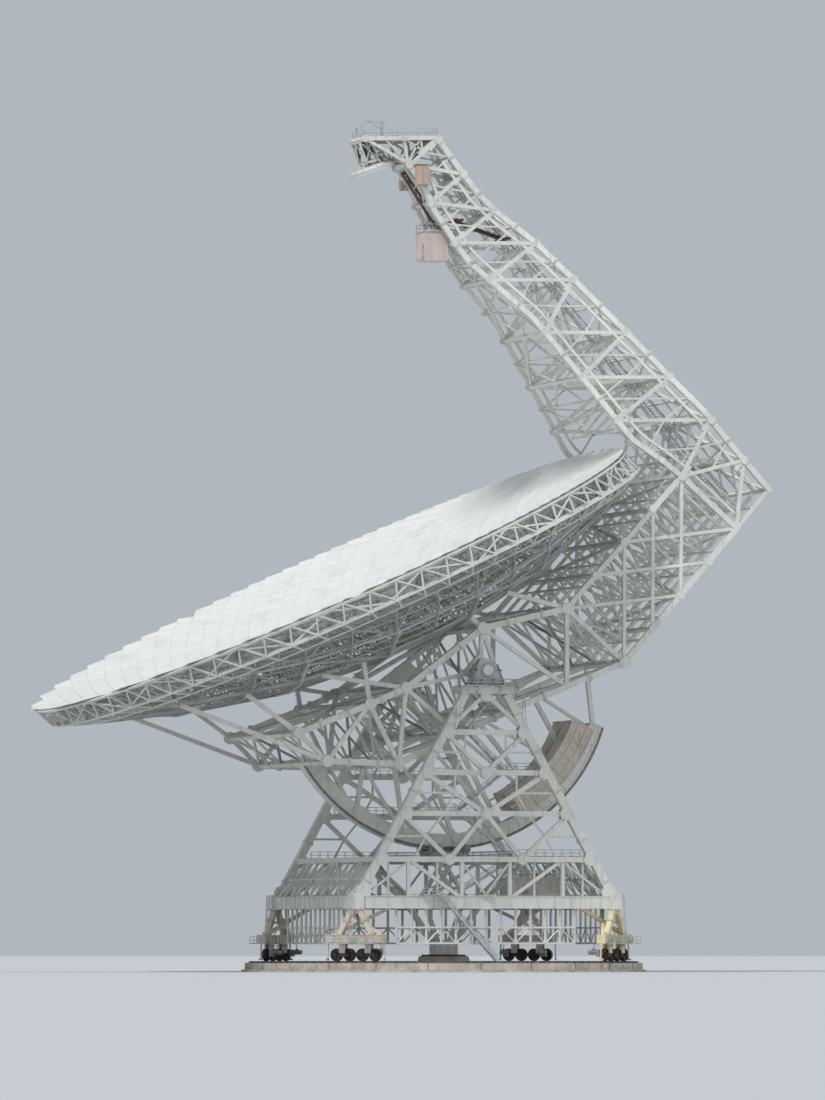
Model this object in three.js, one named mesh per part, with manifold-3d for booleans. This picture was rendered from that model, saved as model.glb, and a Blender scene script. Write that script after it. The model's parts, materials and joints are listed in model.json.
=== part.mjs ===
// A fully steerable radio telescope with an offset dish, at one tenth of its real size.
// Units are millimetres, so that 100 mm here is one real metre. Z is up, and the azimuth
// axis is the Z axis. At rest the dish looks toward -X, as it does in the photograph.
import * as THREE from 'three';
import { mergeVertices } from 'three/addons/utils/BufferGeometryUtils.js';
import Module from 'manifold-3d';

// Track and foundation
const TRACK_RADIUS = 3200;
const RING_WALL_WIDTH = 300;
const RING_WALL_HEIGHT = 150;
const RAIL_WIDTH = 100;
const RAIL_TOP = 180;
const RING_SIDES = 48;
const PINTLE_BLOCK_RADIUS = 480;
const PINTLE_BLOCK_HEIGHT = 260;

// Alidade: f runs forward, s to the left side, u up from the top of the rail
const CORNER = TRACK_RADIUS / Math.SQRT2;
const GIRDER_LEVEL = 980;
const GIRDER_DEEP = 200;
const GIRDER_WIDE = 120;
const HUB_HALF = 500;
const HUB_DEEP = 160;
const HUB_WIDE = 100;
const MID_BAR = 120;
const MID_BAR_WIDE = 70;
const CORNER_POST = 210;
const CORNER_POST_LOW = 860;
const CORNER_POST_HIGH = 1120;
const PINTLE_TOP = 360;
const PINTLE_WIDE = 380;
const PINTLE_FOOT = 150;
const PINTLE_LEG = 80;
const TOWER_OFFSET = 2250;
const TOWER_WIDE = 130;
const TOWER_TOP = 4440;
const TOWER_TOP_HALF = 360;
const TOWER_LEVELS = [1690, 2450, 3130, 3800];
const BRACE_NODE = 640;
const PLATFORM_HALF = 560;
const PLATFORM_DEEP = 120;
const WHEEL_RADIUS = 106.5;
const WHEEL_WIDE = 64;
const WHEEL_SIDES = 14;
const WHEEL_PLACES = [-360, -120, 120, 360];
const WHEEL_GAP = 0.5;
const AXLE_LEVEL = WHEEL_RADIUS + WHEEL_GAP;
const TRUCK_HALF = 520;
const TRUCK_LEVEL = 370;
const TRUCK_DEEP = 130;
const TRUCK_WIDE = 150;
const TRUCK_LEG_HEAD = 900;
const AXLE_BEAM_HALF = 430;
const AXLE_BEAM_DEEP = 60;
const AXLE_BEAM_WIDE = 24;
const AXLE_BEAM_APART = 86;
const INWARD = 10;

// Equipment room on the base frame
const ROOM_REAR = -2000;
const ROOM_FRONT = -1100;
const ROOM_WIDE = 600;
const ROOM_HIGH = 358;

// Elevation axis, measured up from the top of the rail
const AXIS_LEVEL = 4830;
const REST_ELEVATION = THREE.MathUtils.degToRad(41.3);
const TRUNNION_RADIUS = 90;
const BEARING_BORE = 91;
const BEARING_HALF = 100;

// Reflector: part of a paraboloid, in q (across the arm side), s and b (along the beam)
const FOUR_FOCAL = 24000;
const VERTEX_Q = -5250;
const VERTEX_B = 360;
const DISH_MID_Q = VERTEX_Q + 5400;
const DISH_RADIUS = 5000;
const SKIN_THICK = 30;
const GRID_Q = 1400;
const GRID_S = 1200;
const PURLIN_DEEP = 40;
const PURLIN_WIDE = 50;
const LATERAL = 32;
const RIB_RADIUS = 4820;
const RIB_CHORD = 40;
const RIB_WEB = 30;
const RIB_PLACES = [-3400, -1950, -975, 0, 975, 1950, 3400];
const RIB_NAMES = ['right_outer', 'right_middle', 'right_inner', 'centre', 'left_inner', 'left_middle',
  'left_outer'];
const RIM_TRUSS_RADIUS = 4940;
const RIM_TRUSS_BAYS = 20;
const MID_DEPTH = 740;
const RIM_DEPTH = 400;

// Tipping frame
const BOX_OFFSET = 1950;
const BOX_LOW = [[2900, 1000], [2110, 40], [1050, -400], [160, -820], [-1800, -1800]];
const BOX_TOP = [[2880, 1680], [1700, 1070], [1080, 780], [-560, 440], [-1800, -450]];
const WHEEL_OUTER = 2960;
const WHEEL_INNER = 2690;
const BULL_WIDE = 240;
const BOX_RUNG = 80;
const BOX_BRACE = 60;
const WHEEL_START = -24;
const WHEEL_END = 109;

// Feed arm: lines of [q, b] from the foot to the tip, and the levels of their joints
const ARM_FRONT = [[-4830, -1800], [-4830, -500], [-4760, 480], [-5050, 1750], [-5330, 3000],
  [-5390, 4360], [-5660, 5370], [-5860, 5760], [-5960, 6200]];
const ARM_REAR = [[-5710, -1800], [-5830, -740], [-5930, -40], [-6020, 710], [-6170, 1860],
  [-6290, 2880], [-6380, 3740], [-6370, 4450], [-6390, 5000], [-6500, 5550], [-6620, 6100]];
const ARM_HALVES = [[-100, BOX_OFFSET], [4600, 460], [6200, 350]];
const FRONT_NODES = [-500, 900, 1780, 2700, 3930, 4750, 5500, 6200];
const REAR_NODES = [-1140, -260, 700, 1700, 2900, 3740, 4600, 5400, 6100];
const BEAM_NODES = [-1800, -2560, -3320, -4070, -4830];
const BEAM_TOP = [-450, -500];
const BEAM_LOW = -1800;
const ARM_RUNG = 60;
const ARM_BRACE = 45;

// Head of the feed arm
const HEAD_REAR = [-6640, 6130];
const HEAD_MID = [-6230, 6570];
const HEAD_NOSE = [-5760, 7060];
const HEAD_FRONT = [-5960, 6230];
const HEAD_HALF = 350;
const CABIN_MIDDLE = [-5290, 4920];
const CABIN_LONG = 500;
const CABIN_WIDE = 390;
const CABIN_HIGH = 480;
const BOOM_ROOT = [-5890, 0, 6130];
const BOOM_TIP = [-5610, 0, 5060];
const BOOM_THICK = 90;
const SUB_CENTRE = [-5555, 0, 6590];
const SUB_TILT = THREE.MathUtils.degToRad(-29);
const SUB_MOUNT = [[-5585, 0, 6640], [-5790, 0, 7040]];
const SUB_MOUNT_WIDE = 420;
const SUB_MOUNT_DEEP = 220;

// Left between neighbouring pieces, and how far the faces of a joined piece may shift
const SEAT_GAP = 0.3;
const MERGE_LIMIT = 0.1;

const wasm = await Module();
wasm.setup();

const finish = (color, roughness, metalness) => () => (
  new THREE.MeshStandardMaterial({ color, roughness, metalness }));
const whiteSteel = finish(0xdcdad2, 0.55, 0.1);
const webSteel = finish(0xd2d1cb, 0.6, 0.1);
const greySteel = finish(0xb4b7ba, 0.65, 0.15);
const dishSkin = finish(0xf0efea, 0.5, 0.05);
const concrete = finish(0xb3ada2, 0.9, 0);
const railSteel = finish(0x77706a, 0.4, 0.8);
const cabinPanel = finish(0xd9cfc6, 0.6, 0.05);
const darkSteel = finish(0x5c6166, 0.5, 0.4);

// Solids and meshes

function toSolid(source) {
  const bare = source.clone();
  bare.deleteAttribute('normal');
  bare.deleteAttribute('uv');
  const merged = mergeVertices(bare, 1e-4);
  const vertProperties = new Float32Array(merged.attributes.position.array);
  const triVerts = new Uint32Array(merged.index.array);
  return new wasm.Manifold(new wasm.Mesh({ numProp: 3, vertProperties, triVerts }));
}

function toGeometry(solid) {
  const mesh = solid.getMesh();
  const geometry = new THREE.BufferGeometry();
  geometry.setAttribute('position', new THREE.BufferAttribute(new Float32Array(mesh.vertProperties), 3));
  geometry.setIndex(new THREE.BufferAttribute(new Uint32Array(mesh.triVerts), 1));
  return geometry;
}

function addSolid(group, name, solid, material) {
  const mesh = new THREE.Mesh(toGeometry(solid), material);
  mesh.name = name;
  group.add(mesh);
}

// A bar of rectangular section along a line of points, with mitred bends. `wide` is measured
// along `side` and `deep` across it, and each free end reaches on by `lap` times half of `deep`.
function chain(points, wide, deep, side, lap = 0, closed = false) {
  return { points, wide, deep, side, lap, closed };
}

function bar(from, to, wide, deep, side, lap = 0) {
  return chain([from, to], wide, deep, side, lap);
}

function barGeometry(spec, grow = 0) {
  const spots = spec.points.map((point) => new THREE.Vector3(...point));
  const count = spots.length;
  const legs = spots.map((spot, i) => spots[(i + 1) % count].clone().sub(spot).normalize());
  const corners = [];
  spots.forEach((spot, i) => {
    const isStart = i === 0 && !spec.closed;
    const isEnd = i === count - 1 && !spec.closed;
    const before = isStart ? legs[0] : legs[(i + count - 1) % count];
    const after = isEnd ? legs[count - 2] : legs[i];
    const along = before.clone().add(after).normalize();
    const across = new THREE.Vector3(...spec.side);
    across.addScaledVector(along, -across.dot(along)).normalize();
    const other = new THREE.Vector3().crossVectors(along, across);
    across.multiplyScalar(spec.wide / 2 + grow);
    other.multiplyScalar((spec.deep / 2 + grow) / along.dot(before));
    const reach = grow + (spec.lap * spec.deep) / 2;
    const shift = (isEnd ? reach : 0) - (isStart ? reach : 0);
    for (const [x, y] of [[1, 1], [-1, 1], [-1, -1], [1, -1]]) {
      const corner = spot.clone().addScaledVector(along, shift);
      corners.push(...corner.addScaledVector(across, x).addScaledVector(other, y).toArray());
    }
  });
  const index = [];
  const rounds = spec.closed ? count : count - 1;
  for (let i = 0; i < rounds; i += 1) {
    const next = (i + 1) % count;
    for (let j = 0; j < 4; j += 1) {
      const [a, b] = [4 * i + j, 4 * i + ((j + 1) % 4)];
      const [d, c] = [4 * next + j, 4 * next + ((j + 1) % 4)];
      index.push(a, b, c, a, c, d);
    }
  }
  if (!spec.closed) {
    const last = 4 * (count - 1);
    index.push(0, 2, 1, 0, 3, 2, last, last + 1, last + 2, last, last + 2, last + 3);
  }
  const geometry = new THREE.BufferGeometry();
  geometry.setAttribute('position', new THREE.BufferAttribute(new Float32Array(corners), 3));
  geometry.setIndex(index);
  return geometry;
}

function joinBars(specs, grow = 0) {
  const solids = specs.map((spec) => toSolid(barGeometry(spec, grow)));
  return wasm.Manifold.union(solids).asOriginal().simplify(MERGE_LIMIT);
}

// What is left when the neighbours are cut away with a gap: the largest piece
function fitted(solid, neighbours) {
  let rest = solid;
  for (const neighbour of neighbours) {
    rest = rest.subtract(neighbour);
  }
  const pieces = rest.asOriginal().simplify(MERGE_LIMIT).decompose();
  return pieces.reduce((best, piece) => (piece.volume() > best.volume() ? piece : best));
}

const grown = (specs) => joinBars(specs, SEAT_GAP);

// A solid with the gap added on all sides
function spread(solid) {
  const shifts = [];
  for (const x of [-SEAT_GAP, SEAT_GAP]) {
    for (const y of [-SEAT_GAP, SEAT_GAP]) {
      shifts.push([x, y, -SEAT_GAP], [x, y, SEAT_GAP]);
    }
  }
  return wasm.Manifold.union(shifts.map((shift) => solid.translate(shift)));
}

const lerp = (a, b, t) => a + (b - a) * t;

// A flat outline with holes, extruded along the third direction of a right-handed frame
function plate(outline, holes, from, to, basis) {
  const shape = new THREE.Shape(outline.map(([x, y]) => new THREE.Vector2(x, y)));
  shape.holes = holes.map((hole) => new THREE.Path(hole.map(([x, y]) => new THREE.Vector2(x, y))));
  const geometry = new THREE.ExtrudeGeometry(shape, { depth: to - from, bevelEnabled: false });
  geometry.translate(0, 0, from);
  return geometry.applyMatrix4(new THREE.Matrix4().makeBasis(...basis.map((v) => new THREE.Vector3(...v))));
}

const S_B_TO_Q = [[0, 1, 0], [0, 0, 1], [1, 0, 0]];
const Q_B_TO_S = [[1, 0, 0], [0, 0, 1], [0, -1, 0]];

function ringOf(inner, outer, low, high, sides) {
  const profile = [[inner, low], [outer, low], [outer, high], [inner, high], [inner, low]];
  const points = profile.map(([x, y]) => new THREE.Vector2(x, y));
  return new THREE.LatheGeometry(points, sides).rotateX(Math.PI / 2);
}

function circle(x, y, radius, sides) {
  const points = [];
  for (let i = 0; i < sides; i += 1) {
    const angle = (i / sides) * 2 * Math.PI;
    points.push([x + radius * Math.cos(angle), y + radius * Math.sin(angle)]);
  }
  return points;
}

// Foundation

function addFoundation(group) {
  const half = RING_WALL_WIDTH / 2;
  const wall = ringOf(TRACK_RADIUS - half, TRACK_RADIUS + half, 0, RING_WALL_HEIGHT, RING_SIDES);
  addSolid(group, 'track_foundation_ring', toSolid(wall), concrete());
  const railHalf = RAIL_WIDTH / 2;
  const rail = ringOf(TRACK_RADIUS - railHalf, TRACK_RADIUS + railHalf, RING_WALL_HEIGHT + SEAT_GAP, RAIL_TOP,
    RING_SIDES);
  addSolid(group, 'track_rail', toSolid(rail), railSteel());
  const block = new THREE.CylinderGeometry(PINTLE_BLOCK_RADIUS - 60, PINTLE_BLOCK_RADIUS,
    PINTLE_BLOCK_HEIGHT, 24);
  block.rotateX(Math.PI / 2).translate(0, 0, PINTLE_BLOCK_HEIGHT / 2);
  addSolid(group, 'pintle_foundation', toSolid(block), concrete());
}

// Alidade

const UP = [0, 0, 1];
const ACROSS = [0, 1, 0];
const SIGNS = [1, -1];
const frontRear = (sign) => (sign > 0 ? 'front' : 'rear');
const leftRight = (sign) => (sign > 0 ? 'left' : 'right');

function legHalf(level) {
  const t = (level - GIRDER_LEVEL) / (TOWER_TOP - GIRDER_LEVEL);
  return lerp(CORNER, TOWER_TOP_HALF, t);
}

function baseFrameBars() {
  const bars = [];
  const level = GIRDER_LEVEL;
  for (const side of SIGNS) {
    const c = side * CORNER;
    const h = side * HUB_HALF;
    bars.push(bar([-CORNER, c, level], [CORNER, c, level], GIRDER_DEEP, GIRDER_WIDE, UP, 1));
    bars.push(bar([c, -CORNER, level], [c, CORNER, level], GIRDER_DEEP, GIRDER_WIDE, UP, 1));
    bars.push(bar([-HUB_HALF, h, level], [HUB_HALF, h, level], HUB_DEEP, HUB_WIDE, UP, 1));
    bars.push(bar([h, -HUB_HALF, level], [h, HUB_HALF, level], HUB_DEEP, HUB_WIDE, UP, 1));
    bars.push(bar([c, 0, level], [h, 0, level], MID_BAR, MID_BAR_WIDE, UP));
    bars.push(bar([0, c, level], [0, h, level], MID_BAR, MID_BAR_WIDE, UP));
    for (const end of SIGNS) {
      const far = end * CORNER;
      const near = end * HUB_HALF;
      bars.push(bar([far, c, level], [near, h, level], HUB_DEEP, HUB_WIDE, UP));
      const post = [[far, c, CORNER_POST_LOW], [far, c, CORNER_POST_HIGH]];
      bars.push(bar(post[0], post[1], CORNER_POST, CORNER_POST, [1, 0, 0]));
    }
  }
  return bars;
}

// Four legs slope from the hub of the base frame down to the bearing on the pintle foundation
function pintleBars() {
  const bottom = PINTLE_BLOCK_HEIGHT - RAIL_TOP + WHEEL_GAP;
  const bars = [bar([0, 0, bottom], [0, 0, PINTLE_TOP], PINTLE_WIDE, PINTLE_WIDE, [1, 0, 0])];
  for (const side of SIGNS) {
    for (const end of SIGNS) {
      const head = [end * HUB_HALF, side * HUB_HALF, GIRDER_LEVEL];
      const foot = [end * PINTLE_FOOT, side * PINTLE_FOOT, PINTLE_TOP - 30];
      bars.push(bar(head, foot, PINTLE_LEG, PINTLE_LEG, [1, 0, 0]));
    }
  }
  return bars;
}

// The frame of one corner: t along the track, r outward
function cornerFrame(end, side) {
  const radial = new THREE.Vector3(end, side).normalize();
  const tangent = new THREE.Vector3(-radial.y, radial.x);
  const place = (t, r, u) => {
    const point = radial.clone().multiplyScalar(TRACK_RADIUS + r).addScaledVector(tangent, t);
    return [point.x, point.y, u];
  };
  return { radial: radial.toArray(), place };
}

function truckBars(end, side) {
  const { radial, place } = cornerFrame(end, side);
  const bars = [bar(place(-TRUCK_HALF, 0, TRUCK_LEVEL), place(TRUCK_HALF, 0, TRUCK_LEVEL),
    TRUCK_DEEP, TRUCK_WIDE, UP)];
  for (const t of [-240, 240]) {
    for (const r of [-45, 45]) {
      const foot = AXLE_LEVEL + AXLE_BEAM_DEEP / 2 + SEAT_GAP;
      const hanger = [place(t, r - INWARD, foot), place(t, r - INWARD, 320)];
      bars.push(bar(hanger[0], hanger[1], AXLE_BEAM_WIDE, 110, radial));
    }
  }
  for (const sign of SIGNS) {
    const leg = [place(sign * 330, 0, 400), place(sign * 40, 0, TRUCK_LEG_HEAD)];
    bars.push(bar(leg[0], leg[1], 90, 80, radial));
  }
  const t = -460 * end * side;
  bars.push(bar(place(t, 0, 410), [end * (CORNER - 620), side * CORNER, TRUCK_LEG_HEAD], 60, 60, UP));
  bars.push(bar(place(-t, 0, 410), [end * CORNER, side * (CORNER - 620), TRUCK_LEG_HEAD], 60, 60, UP));
  return bars;
}

function wheelSetSolid(end, side) {
  const { radial, place } = cornerFrame(end, side);
  const turn = Math.atan2(radial[1], radial[0]);
  const pieces = [];
  for (const sign of SIGNS) {
    const r = (sign * AXLE_BEAM_APART) / 2 - INWARD;
    const beam = [place(-AXLE_BEAM_HALF, r, AXLE_LEVEL), place(AXLE_BEAM_HALF, r, AXLE_LEVEL)];
    pieces.push(toSolid(barGeometry(bar(beam[0], beam[1], AXLE_BEAM_DEEP, AXLE_BEAM_WIDE, UP))));
  }
  for (const t of WHEEL_PLACES) {
    const [x, y, u] = place(t, -INWARD, AXLE_LEVEL);
    const outer = WHEEL_RADIUS / Math.cos(Math.PI / WHEEL_SIDES);
    const wheel = new THREE.CylinderGeometry(outer, outer, WHEEL_WIDE, WHEEL_SIDES);
    wheel.rotateY(Math.PI / WHEEL_SIDES).rotateZ(Math.PI / 2).rotateZ(turn).translate(x, y, u);
    pieces.push(toSolid(wheel));
  }
  return wasm.Manifold.union(pieces);
}

function towerBars(side) {
  const s = side * TOWER_OFFSET;
  const at = (f, u) => [f, s, u];
  const bars = [];
  const member = (f1, u1, f2, u2, deep) => bars.push(bar(at(f1, u1), at(f2, u2), deep, deep, ACROSS));
  const [low, knee, waist, high] = TOWER_LEVELS;
  for (const end of SIGNS) {
    const foot = at(end * CORNER, GIRDER_LEVEL);
    const top = at(end * TOWER_TOP_HALF, TOWER_TOP);
    bars.push(bar(foot, top, TOWER_WIDE, TOWER_WIDE, ACROSS));
    member(end * 1350, 1000, end * 1350, low, 60);
    member(end * 420, 1000, end * 420, low, 60);
    member(end * 420, 1040, end * 1350, low, 55);
    member(end * BRACE_NODE, low, end * legHalf(knee), knee, 70);
    member(end * BRACE_NODE, low, 0, knee, 70);
    member(0, knee, end * legHalf(waist), waist, 75);
    member(0, waist, end * legHalf(high), high, 70);
    member(end * legHalf(high), high, 0, TOWER_TOP, 65);
  }
  for (const level of TOWER_LEVELS) {
    member(-legHalf(level), level, legHalf(level), level, 90);
  }
  const deck = TOWER_TOP + PLATFORM_DEEP / 2;
  bars.push(bar(at(-PLATFORM_HALF, deck), at(PLATFORM_HALF, deck), 260, PLATFORM_DEEP, ACROSS));
  return bars;
}

function endFrameBars(end) {
  const low = TOWER_LEVELS[0];
  const top = (s) => [end * legHalf(low), s, low];
  const foot = (s) => [end * CORNER, s, GIRDER_LEVEL + 60];
  const slope = [end * (low - GIRDER_LEVEL), 0, CORNER - legHalf(low)];
  const bars = [bar(top(-TOWER_OFFSET), top(TOWER_OFFSET), 90, 90, UP)];
  for (const s of [-1400, 0, 1400]) {
    bars.push(bar(foot(s), top(s), 60, 60, slope));
  }
  for (const side of SIGNS) {
    bars.push(bar(foot(side * 1400), top(side * 40), 50, 50, slope));
    bars.push(bar(foot(side * 2100), top(side * 1440), 50, 50, slope));
  }
  return bars;
}

// A double strut from the lowest level of a tower down to the hub of the base frame
function hubStrutBars(end, side) {
  const head = new THREE.Vector3(end * BRACE_NODE, side * TOWER_OFFSET, TOWER_LEVELS[0]);
  const foot = new THREE.Vector3(end * HUB_HALF, side * HUB_HALF, GIRDER_LEVEL + 60);
  const across = new THREE.Vector3(foot.y - head.y, head.x - foot.x).normalize();
  const bars = [];
  const shifted = (t, offset) => head.clone().lerp(foot, t).addScaledVector(across, offset).toArray();
  for (const offset of [-80, 80]) {
    bars.push(bar(shifted(0, offset), shifted(1, offset), 60, 60, UP));
  }
  for (const t of [0.3, 0.7]) {
    bars.push(bar(shifted(t, -80), shifted(t, 80), 45, 45, UP));
  }
  return bars;
}

function bearingGeometry(side) {
  const low = TOWER_TOP + PLATFORM_DEEP + SEAT_GAP;
  const outline = [[-300, low], [300, low], [300, low + 90], [190, AXIS_LEVEL + 60], [110, AXIS_LEVEL + 190],
    [-110, AXIS_LEVEL + 190], [-190, AXIS_LEVEL + 60], [-300, low + 90]];
  const bore = circle(0, AXIS_LEVEL, BEARING_BORE, 32);
  const middle = -side * TOWER_OFFSET;
  return plate(outline, [bore], middle - BEARING_HALF, middle + BEARING_HALF, Q_B_TO_S);
}

function driveBars() {
  const level = TOWER_LEVELS[0];
  const bars = [];
  for (const end of SIGNS) {
    bars.push(bar([end * 350, -TOWER_OFFSET, level], [end * 350, TOWER_OFFSET, level], 90, 90, UP));
    bars.push(bar([-300, end * 270, 1720], [300, end * 270, 1720], 220, 240, [0, 0, 1]));
  }
  bars.push(bar([-420, 0, level], [420, 0, level], 900, 60, ACROSS));
  bars.push(bar([0, 0, 1700], [0, 0, AXIS_LEVEL - WHEEL_OUTER - 8], 320, 110, [1, 0, 0]));
  return bars;
}

function addAlidade(group) {
  const base = baseFrameBars();
  const baseCut = grown(base);
  addSolid(group, 'base_frame', joinBars(base), whiteSteel());
  addSolid(group, 'pintle_pyramid', fitted(joinBars(pintleBars()), [baseCut]), whiteSteel());
  const towerCut = {};
  for (const side of SIGNS) {
    const tower = towerBars(side);
    towerCut[side] = grown(tower);
    addSolid(group, `tower_${leftRight(side)}`, fitted(joinBars(tower), [baseCut]), whiteSteel());
    addSolid(group, `elevation_bearing_${leftRight(side)}`, toSolid(bearingGeometry(side)), greySteel());
  }
  for (const end of SIGNS) {
    const frame = fitted(joinBars(endFrameBars(end)), [baseCut, towerCut[1], towerCut[-1]]);
    addSolid(group, `${frontRear(end)}_end_frame`, frame, webSteel());
    for (const side of SIGNS) {
      const where = `${frontRear(end)}_${leftRight(side)}`;
      const wheels = wheelSetSolid(end, side);
      const truck = fitted(joinBars(truckBars(end, side)), [baseCut]);
      addSolid(group, `corner_truck_${where}`, truck, cabinPanel());
      addSolid(group, `wheel_set_${where}`, wheels, darkSteel());
      const strut = fitted(joinBars(hubStrutBars(end, side)), [baseCut, towerCut[side]]);
      addSolid(group, `hub_strut_${where}`, strut, whiteSteel());
    }
  }
  const drive = fitted(joinBars(driveBars()), [towerCut[1], towerCut[-1]]);
  addSolid(group, 'elevation_drive', drive, greySteel());
  const level = GIRDER_LEVEL + MID_BAR / 2 + SEAT_GAP + ROOM_HIGH / 2;
  const room = bar([ROOM_REAR, 0, level], [ROOM_FRONT, 0, level], ROOM_WIDE, ROOM_HIGH, ACROSS);
  addSolid(group, 'equipment_room', joinBars([room]), cabinPanel());
}

// Tipping structure: points are [q, s, b] measured from the elevation axis

function surface(q, s) {
  const x = q - VERTEX_Q;
  return VERTEX_B + (x * x + s * s) / FOUR_FOCAL;
}

// The square of a distance, taken straight between the lines of the reflector's grid
function gridSquare(place, origin, pitch, centre) {
  const start = origin + Math.floor((place - origin) / pitch) * pitch;
  return lerp((start - centre) ** 2, (start + pitch - centre) ** 2, (place - start) / pitch);
}

function facet(q, s) {
  const squares = gridSquare(q, DISH_MID_Q, GRID_Q, VERTEX_Q) + gridSquare(s, 0, GRID_S, 0);
  return VERTEX_B + squares / FOUR_FOCAL;
}

// The top of a purlin lies under the reflector on its lower edge as well as along its middle
const fallQ = (q, s) => (facet(q, s) - facet(q - PURLIN_WIDE, s)) / 2;
const purlinTop = (q, s) => facet(q, s) - SKIN_THICK - SEAT_GAP - fallQ(q, s);

function frameDepth(q, s) {
  const r = Math.hypot(q - DISH_MID_Q, s) / DISH_RADIUS;
  return lerp(MID_DEPTH, RIM_DEPTH, Math.min(1, r * r));
}

const lowerFrame = (q, s) => surface(q, s) - frameDepth(q, s);

function reflectorSolid() {
  const columns = 8;
  const rows = 10;
  const positions = [];
  const index = [];
  const vertex = (i, j, layer = 0) => (layer * (columns + 1) + i) * (rows + 1) + j;
  for (const offset of [0, -SKIN_THICK]) {
    for (let i = 0; i <= columns; i += 1) {
      for (let j = 0; j <= rows; j += 1) {
        const q = DISH_MID_Q + (i - columns / 2) * GRID_Q;
        const s = (j - rows / 2) * GRID_S;
        positions.push(q, s, surface(q, s) + offset);
      }
    }
  }
  const quad = (a, b, c, d) => index.push(a, b, c, a, c, d);
  for (let i = 0; i < columns; i += 1) {
    for (let j = 0; j < rows; j += 1) {
      quad(vertex(i, j), vertex(i + 1, j), vertex(i + 1, j + 1), vertex(i, j + 1));
      quad(vertex(i, j + 1, 1), vertex(i + 1, j + 1, 1), vertex(i + 1, j, 1), vertex(i, j, 1));
    }
  }
  for (let i = 0; i < columns; i += 1) {
    quad(vertex(i, 0, 1), vertex(i + 1, 0, 1), vertex(i + 1, 0), vertex(i, 0));
    quad(vertex(i, rows), vertex(i + 1, rows), vertex(i + 1, rows, 1), vertex(i, rows, 1));
  }
  for (let j = 0; j < rows; j += 1) {
    quad(vertex(0, j), vertex(0, j + 1), vertex(0, j + 1, 1), vertex(0, j, 1));
    quad(vertex(columns, j, 1), vertex(columns, j + 1, 1), vertex(columns, j + 1), vertex(columns, j));
  }
  const slab = new wasm.Manifold(new wasm.Mesh({
    numProp: 3, vertProperties: new Float32Array(positions), triVerts: new Uint32Array(index) }));
  const aperture = new THREE.CylinderGeometry(DISH_RADIUS, DISH_RADIUS, 14000, 64);
  aperture.rotateX(Math.PI / 2).translate(DISH_MID_Q, 0, 3000);
  return slab.intersect(toSolid(aperture));
}

// A band of even depth that hangs below the reflector along one line of its grid
function purlinBand(fixed, alongS) {
  const reach = RIM_TRUSS_RADIUS - 5;
  const offset = alongS ? fixed - DISH_MID_Q : fixed;
  const half = Math.sqrt(reach * reach - offset * offset);
  const pitch = alongS ? GRID_S : GRID_Q;
  const centre = alongS ? 0 : DISH_MID_Q;
  const places = [centre - half];
  for (let k = -Math.floor(half / pitch); k <= Math.floor(half / pitch); k += 1) {
    places.push(centre + k * pitch);
  }
  places.push(centre + half);
  const inward = fixed - Math.sign(fixed) * PURLIN_WIDE;
  const fallS = (p) => (facet(p, fixed) - facet(p, inward)) / 2;
  const stringerTop = (p) => facet(p, fixed) - SKIN_THICK - SEAT_GAP - fallS(p);
  const height = (p) => (alongS ? purlinTop(fixed, p) : stringerTop(p));
  const top = places.map((p) => [p, height(p)]);
  const low = places.map((p) => [p, height(p) - PURLIN_DEEP]).reverse();
  if (alongS) {
    return plate([...top, ...low], [], fixed - PURLIN_WIDE / 2, fixed + PURLIN_WIDE / 2, S_B_TO_Q);
  }
  return plate([...top, ...low], [], -fixed - 20, -fixed + 20, Q_B_TO_S);
}

function purlinSolid() {
  const bands = [];
  for (let k = -3; k <= 3; k += 1) {
    bands.push(toSolid(purlinBand(DISH_MID_Q + k * GRID_Q, true)));
  }
  for (const s of [-2 * GRID_S, 2 * GRID_S]) {
    bands.push(toSolid(purlinBand(s, false)));
  }
  return wasm.Manifold.union(bands);
}

function ribStations(s) {
  const half = Math.sqrt(RIB_RADIUS * RIB_RADIUS - s * s);
  const pitch = GRID_Q;
  const stations = [DISH_MID_Q - half];
  for (let k = -Math.floor(half / pitch); k <= Math.floor(half / pitch); k += 1) {
    stations.push(DISH_MID_Q + k * pitch);
  }
  stations.push(DISH_MID_Q + half);
  return stations.filter((q, i) => i === 0 || q - stations[i - 1] > 200);
}

// The corners of a triangle moved in by half the width of the member along each side
function insetTriangle(points, halves) {
  const lines = points.map(([x1, y1], i) => {
    const [x2, y2] = points[(i + 1) % 3];
    const length = Math.hypot(x2 - x1, y2 - y1);
    const normal = [(y1 - y2) / length, (x2 - x1) / length];
    return { normal, offset: normal[0] * x1 + normal[1] * y1 + halves[i] };
  });
  return lines.map((line, i) => {
    const before = lines[(i + 2) % 3];
    const [a, b] = before.normal;
    const [c, d] = line.normal;
    const det = a * d - b * c;
    return [(before.offset * d - b * line.offset) / det, (a * line.offset - before.offset * c) / det];
  });
}

const ribSlope = (q, s) => (lowerFrame(q + 10, s) - lowerFrame(q - 10, s)) / 20;

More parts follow.
